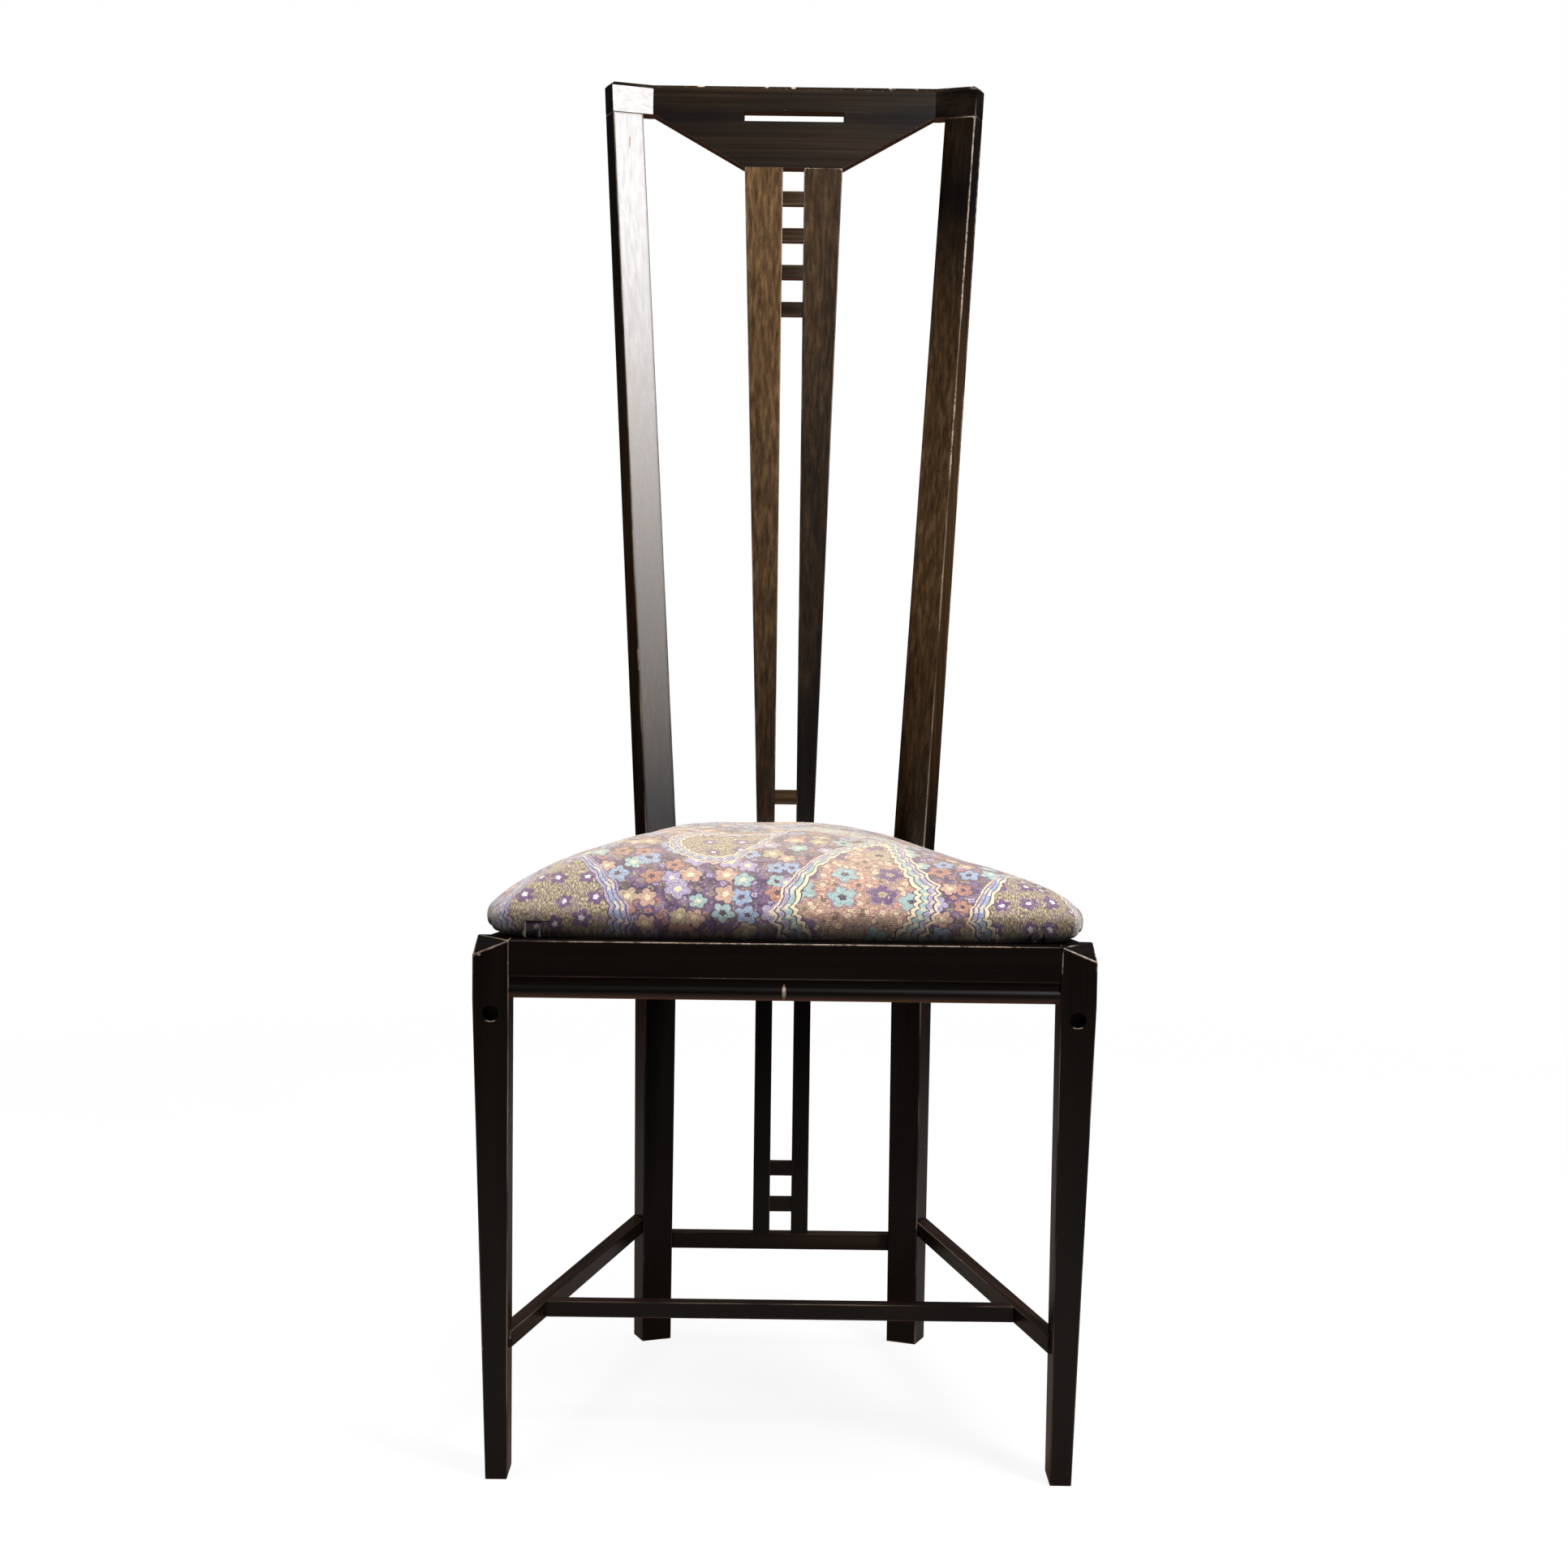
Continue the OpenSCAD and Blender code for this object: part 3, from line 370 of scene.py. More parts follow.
# Small chips in the varnish, and painted highlights on the lower lips of the leg holes
CHIPS_AND_LIP_HIGHLIGHTS = [
    # The lower lips of the holes in the front legs: painted highlights, where light from above
    # falls on each hole's lower wall
    ((-0.2236, -0.2570, 0.3585), (0.0042, 0.002, 0.0012)),
    ((0.2236, -0.2570, 0.3585), (0.0042, 0.002, 0.0012)),
    # The front rail's bead, the left post, the left leg's facet and the right slat
    ((-0.0005, -0.2575, 0.3825), (0.0016, 0.006, 0.0075)),
    ((-0.1533, 0.2175, 1.108), (0.0007, 0.004, 0.007)),
    ((-0.2325, -0.2560, 0.4090), (0.0020, 0.0030, 0.0012)),
    ((0.0475, 0.2220, 1.0800), (0.0016, 0.004, 0.0016)),
    # The crest rail's top edge
    ((-0.0880, 0.2372, 1.1645), (0.0044, 0.0018, 0.0009)),
    ((-0.0260, 0.2372, 1.1645), (0.0022, 0.0018, 0.0009)),
    ((-0.0010, 0.2372, 1.1645), (0.0026, 0.0018, 0.0024)),
    ((0.0900, 0.2372, 1.1645), (0.0015, 0.0018, 0.0008)),
]


def inside_any(tree, spot, regions, otherwise=0.0):
    """1 inside any of some long round regions, and another value outside them."""
    value = otherwise
    for place, radii in regions:
        near = tree.nodes.new("ShaderNodeMapping")
        near.vector_type = "TEXTURE"
        near.inputs["Location"].default_value = place
        near.inputs["Scale"].default_value = radii
        tree.links.new(spot, near.inputs["Vector"])
        far = arrow(tree, "LENGTH", near.outputs["Vector"])
        value = sums(tree, "MAXIMUM", value, fade(tree, far, 1.0, 0.8))
    return value


print("rubbed and chipped places:", len(RUBBED), len(CHIPS_AND_LIP_HIGHLIGHTS))

# %% The grain
# Each row: how little the pattern changes along the grain, then its scale, detail and
# roughness. 0.01 draws it out a hundred times, and 1 leaves it round
GRAIN = {
    "waves": (0.010, 34, 2.0, 0.5),
    "figure": (0.045, 90, 3.0, 0.55),
    "pores": (0.014, 900, 2.0, 0.6),
    "streaks": (0.010, 320, 3.0, 0.58),
    "cloud": (0.4, 11, 3.0, 0.55),
    "ragged": (1.0, 160, 4.0, 0.65),
    "patches": (1.0, 13, 2.0, 0.5),
    "scuffs": (1.0, 210, 3.0, 0.7),
}


def grain(tree, shifted):
    """The wood's patterns by name."""
    return {
        name: speckle(tree, arrow(tree, "MULTIPLY", shifted, (1.0, 1.0, along)), *values)
        for name, (along, *values) in GRAIN.items()
    }


# %% The stain, with painted shade by height
FADE_HEIGHT = 1.2


def stained(tree, pattern, level, shade_by_height):
    """The stain's colour: dark where the piece's tone is low, streaky brown where it is high, and
    darkened low down by a height table as painted shade.
    """
    tone = measure(tree, "tone")
    if shade_by_height:
        # How much of its tone the piece shows at each height: painted shade, dark below the seat
        # where its shadow falls
        shares = [(z / FADE_HEIGHT, (share, share, share)) for z, share in shade_by_height]
        shown = steps(tree, sums(tree, "DIVIDE", level, FADE_HEIGHT), shares)
        tone = times(tree, tone, shown)
    drift = plus(tree, tone, swing(tree, pattern["cloud"], 0.38))
    drift = plus(tree, drift, swing(tree, pattern["waves"], 0.45))
    # Pieces with little tone stay evenly dark
    drift = minus(tree, drift, fade(tree, tone, 0.0, 0.35, 0.16, 0.0))
    drift = sums(tree, "MAXIMUM", drift, 0.0, clamp=True)
    dark = steps(tree, pattern["figure"], DARK_STAIN)
    brown = steps(tree, pattern["streaks"], BROWN_STAIN)
    colour = blend_colours(tree, drift, dark, brown)
    pore_dark = fade(tree, pattern["pores"], 0.30, 0.46, 0.62)
    return blend_colours(tree, 1.0, colour, pore_dark, "MULTIPLY")


# %% Painted glow on the undersides, and scuffed stretchers
STRETCHERS_BELOW = 0.20


def painted_glow_below_and_scuffs(tree, pattern, level, colour):
    """Downward faces get a painted glow of warm light from below, and shoes have rubbed the tops of
    the low stretchers.
    """
    normal = tree.nodes.new("ShaderNodeNewGeometry").outputs["Normal"]
    _, _, upwards = axes(tree, normal)
    # Painted glow: faces that turn downwards are painted lighter and redder, as if lit by warm
    # light bounced up from below
    under = fade(tree, upwards, -0.35, -0.75, 0.0, 0.7)
    colour = blend_colours(tree, under, colour, rgba(UNDERSIDE_PAINTED_GLOW))
    low = fade(tree, level, STRETCHERS_BELOW + 0.02, STRETCHERS_BELOW)
    scuffed = times(tree, fade(tree, upwards, 0.7, 0.95, 0.0, 0.5), low)
    scuffed = times(tree, scuffed, fade(tree, pattern["streaks"], 0.3, 0.6, 0.3))
    return blend_colours(tree, scuffed, colour, rgba(SHOE_SCUFFS))


# %% Wear and nicks
WORN_SHARE = 0.8


def wear(tree, spot, pattern):
    """How bare the wood is: in all, and along the arrises where the varnish has broken away. The
    chips' table also adds painted highlights on the leg holes' lips.
    """
    arris = measure(tree, "arris")
    reach = plus(tree, arris, swing(tree, pattern["ragged"], 1.5))
    patchy = fade(tree, pattern["patches"], 0.44, 0.66)
    broken = times(tree, fade(tree, reach, 1.0, 1.3), patchy)
    line = fade(tree, pattern["patches"], 0.42, 0.62, 0.03, 0.5)
    line = times(tree, fade(tree, arris, 0.93, 1.0), line)
    hard = times(tree, fade(tree, arris, 0.75, 1.0), inside_any(tree, spot, RUBBED))
    hard = times(tree, hard, fade(tree, pattern["scuffs"], 0.40, 0.55, 0.15))
    bare = sums(tree, "MAXIMUM", sums(tree, "MAXIMUM", broken, line), hard)
    # Chips are fully bare, and so are the painted highlights on the leg holes' lips
    bare = inside_any(tree, spot, CHIPS_AND_LIP_HIGHLIGHTS, times(tree, bare, WORN_SHARE))
    return bare, broken


def nicks(tree, shifted):
    """A dot in the middle of a few long cells, chosen by the cells' random colours."""
    cells = tree.nodes.new("ShaderNodeTexVoronoi")
    cells.inputs["Scale"].default_value = 1.0
    cells.inputs["Randomness"].default_value = 1.0
    feed(tree, cells.inputs["Vector"], arrow(tree, "MULTIPLY", shifted, (62, 62, 21)))
    chance = arrow(tree, "DOT_PRODUCT", cells.outputs["Color"], (0.577, 0.577, 0.577))
    dot = sums(tree, "LESS_THAN", cells.outputs["Distance"], 0.055)
    return times(tree, dot, sums(tree, "GREATER_THAN", chance, 1.47))


# %% The stained wood's recipe
def stained_wood(name, turn, shade_by_height=None):
    """Dark stained wood whose grain runs along the turned Z axis."""
    material, tree, shader = new_material(name)
    spot = own_place(tree)
    turned = tree.nodes.new("ShaderNodeMapping")
    turned.vector_type = "TEXTURE"
    turned.inputs["Rotation"].default_value = turn
    tree.links.new(spot, turned.inputs["Vector"])
    shifted = arrow(tree, "ADD", turned.outputs["Vector"], measure(tree, "piece"))
    pattern = grain(tree, shifted)
    _, _, level = axes(tree, spot)

    colour = stained(tree, pattern, level, shade_by_height)
    colour = painted_glow_below_and_scuffs(tree, pattern, level, colour)
    bare, broken = wear(tree, spot, pattern)
    # The pale bare colour also paints the highlights on the leg holes' lips
    bare_and_lip_highlight_colour = steps(tree, pattern["streaks"], RUBBED_BARE_AND_LIP_HIGHLIGHT)
    colour = blend_colours(tree, times(tree, bare, 0.9, clamp=True), colour, bare_and_lip_highlight_colour)
    nicked = nicks(tree, shifted)
    colour = blend_colours(tree, times(tree, nicked, 0.6), colour, rgba(NICKED))
    tree.links.new(colour, shader.inputs["Base Color"])

    varnish = fade(tree, pattern["streaks"], 0.3, 0.8, 0.27, 0.31)
    rough = plus(tree, varnish, times(tree, bare, 0.3))
    tree.links.new(rough, shader.inputs["Roughness"])
    shader.inputs["Specular IOR Level"].default_value = 0.5
    height = times(tree, pattern["figure"], 0.25)
    height = plus(tree, times(tree, pattern["pores"], 0.3), height)
    height = minus(tree, height, times(tree, plus(tree, broken, nicked), 0.6))
    bumped(tree, shader, height, 0.14 * MM, 0.15)
    return material


# %% One wood for each direction of the grain
QUARTER = math.pi / 2
# Each pair: a height, and the share of its tone that a piece shows there. Low down the shares are
# painted shade: below the seat, where its shadow falls, the pieces go dark
SLATS_SHADE_BY_HEIGHT = [(0.30, 0.0), (1.05, 1.0)]
POSTS_SHADE_BY_HEIGHT = [(0.40, 0.0), (0.58, 0.65), (0.75, 1.0), (0.90, 0.8), (1.06, 0.2)]
rail_low, rail_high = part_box("side_rail_left")
side_turn = math.atan2(rail_high.x - rail_low.x, rail_high.y - rail_low.y)
wood = {
    "upright": stained_wood("stained_wood_upright", (0, 0, 0), SLATS_SHADE_BY_HEIGHT),
    "post": stained_wood("stained_wood_post", (0, 0, 0), POSTS_SHADE_BY_HEIGHT),
    "across": stained_wood("stained_wood_across", (0, QUARTER, 0)),
    "left": stained_wood("stained_wood_left_side", (-QUARTER, 0, -side_turn)),
    "right": stained_wood("stained_wood_right_side", (-QUARTER, 0, side_turn)),
}
print("wood materials:", sorted(m.name for m in wood.values()))

# %% [markdown]
# ## Eased wooden pieces
# A joiner takes every sharp arris off with a plane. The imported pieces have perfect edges, so
# each is copied, its triangles are merged into whole faces, and its outer arrises are
# rounded. The walls of mortises and holes are found by looking outwards from each
# face: where the piece itself is close in front, the face is a hole's wall and stays sharp.

# %% Find the outer arrises of a merged piece
WELD = 0.02 * MM
SHARP = math.radians(25)
SHORTEST = 2.5 * MM
LOOK_OUT = 9 * MM
STAND_OFF = 0.1 * MM


def merged_copy(node):
    """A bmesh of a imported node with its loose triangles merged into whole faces."""
    bm = bmesh.new()
    bm.from_mesh(nodes[node].data)
    bmesh.ops.remove_doubles(bm, verts=bm.verts, dist=WELD)
    bmesh.ops.dissolve_limit(bm, angle_limit=math.radians(0.4), verts=bm.verts, edges=bm.edges)
    bm.normal_update()
    return bm


def outer_arrises(bm, look_out, along=None):
    """The convex sharp edges whose faces have nothing of the piece close in front of them."""
    tree = BVHTree.FromBMesh(bm)
    inner = set()
    for face in bm.faces:
        start = face.calc_center_median_weighted() + face.normal * STAND_OFF
        if tree.ray_cast(start, face.normal, look_out)[0] is not None:
            inner.add(face)
    found = []
    for edge in bm.edges:
        if len(edge.link_faces) != 2 or edge.calc_length() < SHORTEST:
            continue
        if edge.calc_face_angle_signed(0) < SHARP or any(f in inner for f in edge.link_faces):
            continue
        run = (edge.verts[0].co - edge.verts[1].co).normalized()
        if along is None or abs(run.dot(along)) >= 0.7:
            found.append(edge)
    return found


# %% The flats between rounded arrises
# In square metres
SMALLEST_FLAT = 6e-5


def coplanar_groups(bm, rounded):
    """Groups of touching faces in one plane, apart from the rounded ones and the small ones."""
    seen, groups = set(rounded), []
    for face in bm.faces:
        if face in seen:
            continue
        group, queue = [], [face]
        seen.add(face)
        while queue:
            one = queue.pop()
            group.append(one)
            for other in {g for e in one.edges for g in e.link_faces} - seen:
                if other.normal.dot(face.normal) > 0.99999:
                    seen.add(other)
                    queue.append(other)
        if sum(f.calc_area() for f in group) > SMALLEST_FLAT:
            groups.append(group)
    return groups


def rounded_sides(group, rounded, band):
    """A point a band away from each rounded side of a flat, and the way in from it."""
    normal = group[0].normal.copy()
    middle = sum((f.calc_center_median_weighted() * f.calc_area() for f in group), Vector())
    middle /= sum(f.calc_area() for f in group)
    sides = []
    for edge in [e for face in group for e in face.edges]:
        if edge.calc_length() > SHORTEST and any(f in rounded for f in edge.link_faces):
            a, b = (v.co.copy() for v in edge.verts)
            inward = normal.cross(b - a).normalized()
            if inward.dot(middle - a) < 0:
                inward = -inward
            if inward.dot(middle - a) > 1.6 * band:
                sides.append((a + inward * band, inward))
    return sides


# %% Round the arrises and mark them for the wear
def ease(bm, arrises, width, band, clamp=False):
    """Rounds edges, and cuts each flat along its rounded sides: the wear fades in that band."""
    made = bmesh.ops.bevel(
        bm, geom=arrises, offset=width, offset_type="OFFSET", affect="EDGES", segments=3,
        profile=0.5, material=-1, clamp_overlap=clamp, loop_slide=True,
    )
    rounded = set(made["faces"])
    bm.normal_update()
    for faces in coplanar_groups(bm, rounded):
        for place, inward in rounded_sides(faces, rounded, band):
            edges = {e for f in faces for e in f.edges}
            parts = list(set(faces) | edges | {v for f in faces for v in f.verts})
            cut = bmesh.ops.bisect_plane(bm, geom=parts, dist=1e-6, plane_co=place, plane_no=inward)
            faces = [g for g in cut["geom"] if isinstance(g, bmesh.types.BMFace)]
    layer = bm.verts.layers.float.new("arris")
    for vert in bm.verts:
        vert[layer] = 1.0 if any(f in rounded for f in vert.link_faces) else 0.0


# %% Turn an eased copy into a finished piece
pieces_made = 0
SHARP_BEND = math.radians(9)
PATTERN_SHIFT = 0.37


def finish_piece(bm, name, node, material, tone):
    """Makes the object, gives it its attributes and material, and lets it stand for its node."""
    global pieces_made
    pieces_made += 1
    mesh = bpy.data.meshes.new(name)
    bmesh.ops.triangulate(bm, faces=[f for f in bm.faces if len(f.verts) > 4])
    for face in bm.faces:
        face.smooth = True
    rounded = bm.verts.layers.float.get("arris")
    for edge in bm.edges:
        crisp = len(edge.link_faces) == 2 and edge.calc_face_angle(0) > SHARP_BEND
        edge.smooth = not (crisp and not any(v[rounded] > 0.5 for v in edge.verts))
    bm.to_mesh(mesh)
    bm.free()
    for label, value in (("piece", PATTERN_SHIFT * pieces_made), ("tone", tone)):
        attribute = mesh.attributes.new(label, "FLOAT", "POINT")
        attribute.data.foreach_set("value", [value] * len(mesh.vertices))
    mesh.materials.append(material)
    piece = add_object(name, mesh)
    weighted = piece.modifiers.new("even_shading", "WEIGHTED_NORMAL")
    weighted.weight = 100
    weighted.keep_sharp = True
    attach(piece, "root")
    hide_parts(node)


def spare_wear(bm, share, where):
    """Lowers the wear of the rounded arrises whose place passes a test."""
    layer = bm.verts.layers.float["arris"]
    for vert in bm.verts:
        if where(vert.co):
            vert[layer] *= share


def eased_piece(node, material, tone, width, band=2.0 * MM, look_out=LOOK_OUT, along=None,
                slot="stained_wood", clamp=False, first=None, spared=None):
    """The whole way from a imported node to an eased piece."""
    bm = merged_copy(node)
    if first:
        first(bm)
    ease(bm, outer_arrises(bm, look_out, along), width, band, clamp)
    if spared:
        spare_wear(bm, *spared)
    finish_piece(bm, node + "_eased", node, material, tone)


# %% [markdown]
# ## The wooden frame of the chair
# The upright pieces have upright grain, the rails and rungs across have level grain, and the
# side rails and side stretchers have theirs along the chair's flanks. Pieces that butt
# against others keep their end edges sharp, so the joints stay closed.

# %% Legs, posts and slats
LEG_TOP = 0.4199
TINY = 1.2 * MM


def tidy_leg_top(bm):
    """Draws the two tiny level edges beside a leg's facet into points."""
    at_top = [e for e in bm.edges if min(v.co.z for v in e.verts) > LEG_TOP]
    for edge in [e for e in at_top if e.calc_length() < TINY]:
        if edge.is_valid:
            bmesh.ops.pointmerge(bm, verts=list(edge.verts), merge_co=edge.verts[0].co.copy())


SLAT = {"width": 0.7 * MM, "band": 1.6 * MM}
eased_piece("front_leg_left", wood["upright"], 0.02, width=0.8 * MM, first=tidy_leg_top)
eased_piece("front_leg_right", wood["upright"], 0.0, width=0.8 * MM, first=tidy_leg_top)
eased_piece("rear_post_left", wood["post"], 0.35, width=1.0 * MM)
eased_piece("rear_post_right", wood["post"], 0.62, width=1.0 * MM)
eased_piece("slat_left", wood["upright"], 1.05, **SLAT)
eased_piece("slat_right", wood["upright"], 0.38, **SLAT)
print("uprights:", pieces_made)

# %% The crest rail, the front rail and the rear rail
ACROSS = Vector((1, 0, 0))


def crest_top_or_slot(place):
    """The crest rail's top and its slot are barely worn."""
    return place.z > 1.155 or (place.z > 1.120 and abs(place.x) < 0.060)


def front_rail_back(place):
    """Nothing rubs the front rail's back."""
    return place.y > -0.2497


eased_piece(
    "crest_rail", wood["across"], 0.15, width=0.8 * MM, clamp=True,
    spared=(0.85, crest_top_or_slot),
)
eased_piece(
    "front_rail", wood["across"], 0.0, width=0.6 * MM, look_out=4 * MM, along=ACROSS,
    spared=(0.6, front_rail_back),
)
eased_piece("rear_rail", wood["across"], 0.1, width=0.6 * MM, along=ACROSS)
print("with the rails across:", pieces_made)

# %% Rungs, stretchers and side rails
RUNG = {"width": 0.6 * MM, "band": 1.2 * MM, "along": ACROSS}
STRETCHER = {"width": 0.7 * MM, "band": 1.5 * MM}
for number, tone in enumerate((0.27, 0.24, 0.29, 0.22), 1):
    eased_piece(f"upper_rung_{number}", wood["across"], tone, **RUNG)
eased_piece("lower_rung", wood["across"], 0.45, **RUNG)
for number in (1, 2):
    eased_piece(f"under_rung_{number}", wood["across"], 0.2, **RUNG)
eased_piece("rear_stretcher", wood["across"], 0.15, along=ACROSS, **STRETCHER)
eased_piece("cross_stretcher", wood["across"], 0.1, along=ACROSS, **STRETCHER)
for side, sign in (("left", 1), ("right", -1)):
    run = Vector((sign * math.sin(side_turn), math.cos(side_turn), 0))
    eased_piece(f"side_rail_{side}", wood[side], 0.08, width=0.6 * MM, look_out=4 * MM, along=run)
    eased_piece(f"side_stretcher_{side}", wood[side], 0.14, along=run, **STRETCHER)
print("pieces of the frame:", pieces_made)

# %% [markdown]
# ## The cloth's pattern
# The seat wears a woven tapestry: big curled teardrops with scalloped borders on a dark ground
# strewn with small flowers. Paisley and scattered flowers are old common patterns, and this
# layout is the lesson's own. Each teardrop is a distance that grows from its middle to its
# edge, so its borders are steps of that one number. Each flower is a cell of a Voronoi
# texture, with petals drawn from the angle round the cell's middle.

# %% The colours of the threads
PLUM = (0.040, 0.022, 0.060)
VIOLET = (0.095, 0.048, 0.135)
LILAC = (0.27, 0.23, 0.35)
MAUVE = (0.165, 0.115, 0.165)
AQUA = (0.22, 0.33, 0.33)
SKY = (0.20, 0.27, 0.39)
CREAM = (0.60, 0.50, 0.34)
CORAL = (0.30, 0.135, 0.105)
PEACH = (0.38, 0.245, 0.185)
KHAKI = (0.170, 0.138, 0.092)
OLIVE = (0.075, 0.068, 0.046)
SAND = (0.31, 0.245, 0.160)
WHITE = (0.60, 0.57, 0.60)

# %% Flowers in cells
def flower_field(tree, flat, cell, petal, scatter, lobes):
    """Masks of petals, hearts and dark rims, and a random number for each flower."""
    spread = arrow(tree, "MULTIPLY", flat, (1 / cell, 1 / cell, 0.0))
    cells = tree.nodes.new("ShaderNodeTexVoronoi")
    cells.voronoi_dimensions = "2D"
    cells.inputs["Scale"].default_value = 1.0
    cells.inputs["Randomness"].default_value = scatter
    feed(tree, cells.inputs["Vector"], spread)
    x, y, _ = axes(tree, arrow(tree, "SUBTRACT", spread, cells.outputs["Position"]))
    chance = tree.nodes.new("ShaderNodeSeparateColor")
    tree.links.new(cells.outputs["Color"], chance.inputs[0])
    # Each flower is turned by chance, and a cosine of the angle gives its lobes
    spun = plus(tree, sums(tree, "ARCTAN2", y, x), times(tree, chance.outputs[0], 6.28))
    lobe = sums(tree, "ABSOLUTE", sums(tree, "COSINE", times(tree, spun, lobes / 2)))
    size = plus(tree, 0.78, times(tree, chance.outputs[1], 0.34))
    reach = times(tree, plus(tree, 0.62, times(tree, lobe, 0.38)), size)
    far = sums(tree, "DIVIDE", times(tree, cells.outputs["Distance"], cell / petal), reach)
    petals = fade(tree, far, 0.88, 1.0, 1.0, 0.0)
    heart = fade(tree, far, 0.26, 0.36, 1.0, 0.0)
    rim = fade(tree, far, 1.12, 1.26, 1.0, 0.0)
    return petals, heart, rim, chance.outputs[2]


def add_flowers(tree, flat, under, cell, petal, scatter, lobes, petals_of, hearts_of, outline=None):
    """Lays a field of flowers over a colour."""
    petals, heart, rim, chance = flower_field(tree, flat, cell, petal, scatter, lobes)
    if outline:
        under = blend_colours(tree, times(tree, rim, 0.7), under, rgba(outline))
    under = blend_colours(tree, petals, under, steps(tree, chance, petals_of, smooth=False))
    return blend_colours(tree, heart, under, steps(tree, chance, hearts_of, smooth=False))


# %% The four fields of the cloth
# Each field: the pattern that mixes its threads, their colours, a second colour that drifts in
# (from, to, share, colour), and its flowers. Each row of flowers: cell, petal, scatter, lobes,
# the petals' and the hearts' colours by chance, and an outline
FIELDS = {
    "ground": ("mottle", [(0.38, PLUM), (0.50, VIOLET), (0.64, MAUVE)], None, [
        (0.0092, 0.0036, 0.9, 4, [(0.0, OLIVE), (0.35, CORAL), (0.6, LILAC), (0.8, KHAKI)],
         [(0.0, VIOLET)]),
        (0.0190, 0.0097, 0.75, 5,
         [(0.0, SKY), (0.22, CORAL), (0.40, AQUA), (0.56, PEACH), (0.74, SAND), (0.88, LILAC)],
         [(0.0, PLUM), (0.45, CREAM)], PLUM),
    ]),
    "khaki": ("hatch", [(0.32, OLIVE), (0.46, KHAKI), (0.58, SAND), (0.74, CREAM)],
              (0.47, 0.62, 0.55, MAUVE), [
        (0.0225, 0.0088, 0.5, 5, [(0.0, VIOLET), (0.8, PLUM)], [(0.0, WHITE)]),
    ]),
    "coral": ("across", [(0.34, MAUVE), (0.46, CORAL), (0.56, PEACH), (0.68, CREAM)],
              (0.50, 0.62, 0.6, KHAKI), [
        (0.0088, 0.0026, 0.9, 4, [(0.0, CREAM), (0.5, OLIVE)], [(0.0, CORAL)]),
        (0.0310, 0.0125, 0.75, 5, [(0.0, VIOLET), (0.55, AQUA), (0.85, SAND)],
         [(0.0, SAND), (0.5, PLUM)], MAUVE),
    ]),
    "pool": ("hatch", [(0.33, SKY), (0.48, AQUA), (0.66, CREAM)], (0.50, 0.66, 0.5, OLIVE), [
        (0.0215, 0.0082, 0.7, 6, [(0.0, CORAL), (0.4, VIOLET), (0.75, CREAM)],
         [(0.0, CREAM), (0.5, PLUM)]),
    ]),
}


def cloth_field(tree, flat, weave, name):
    """One field: its mixed threads, the colour that drifts in, and its flowers."""
    mixed_by, threads, drift, flowers = FIELDS[name]
    colour = steps(tree, weave[mixed_by], threads)
    if drift:
        low, high, share, other = drift
        drifted = fade(tree, weave["mottle"], low, high, 0.0, share)
        colour = blend_colours(tree, drifted, colour, rgba(other))
    for row in flowers:
        colour = add_flowers(tree, flat, colour, *row)
    return colour


# %% One teardrop
def teardrop(tree, flat, place, size, turn, curl, lobes):
    """The distance from a teardrop's middle, 1 at its scalloped edge, and the angle round it."""
    seat = tree.nodes.new("ShaderNodeMapping")
    seat.vector_type = "TEXTURE"
    seat.inputs["Location"].default_value = (*place, 0)
    seat.inputs["Rotation"].default_value = (0, 0, math.radians(turn))
    seat.inputs["Scale"].default_value = (size, size, 1)
    feed(tree, seat.inputs["Vector"], flat)
    x, y, _ = axes(tree, seat.outputs["Vector"])
    # The tip curls to one side and grows narrow, and the lower end is short and round
    raised = sums(tree, "MAXIMUM", plus(tree, y, 0.2), 0.0)
    bent = minus(tree, x, times(tree, times(tree, raised, raised), curl))
    above = sums(tree, "MAXIMUM", y, 0.0, clamp=True)
    wide = sums(tree, "DIVIDE", bent, minus(tree, 0.52, times(tree, above, 0.40)))
    tall = times(tree, y, plus(tree, 1.0, sums(tree, "LESS_THAN", y, 0.0)))
    squares = [sums(tree, "POWER", sums(tree, "ABSOLUTE", side), 2.0) for side in (wide, tall)]
    far = sums(tree, "SQRT", plus(tree, *squares))
    angle = sums(tree, "ARCTAN2", wide, tall)
    wave = sums(tree, "ABSOLUTE", sums(tree, "SINE", times(tree, angle, lobes / 2)))
    return plus(tree, far, swing(tree, wave, 0.05)), angle


# %% The teardrops' borders
# Each row: the middle and half width of a ring of beads, as shares of the teardrop
BEADS = [(0.8275, 0.026), (0.9125, 0.020)]


def bordered(tree, edge, angle, lobes, band, rope):
    """The rings of colour round a teardrop, with two rows of beads on them."""
    border = steps(
        tree, times(tree, edge, 0.8),
        [(0.0, PLUM), (0.568, rope), (0.616, PLUM), (0.632, band), (0.692, PLUM), (0.704, LILAC),
         (0.756, PLUM), (0.770, rope)], smooth=False
    )
    rings = []
    for middle, half in BEADS:
        off = sums(tree, "ABSOLUTE", minus(tree, edge, middle))
        rings.append(sums(tree, "LESS_THAN", off, half))
    wave = sums(tree, "COSINE", times(tree, angle, lobes))
    bead = times(tree, plus(tree, *rings), sums(tree, "GREATER_THAN", wave, 0.2))
    return blend_colours(tree, times(tree, bead, 0.7), border, rgba(CREAM))


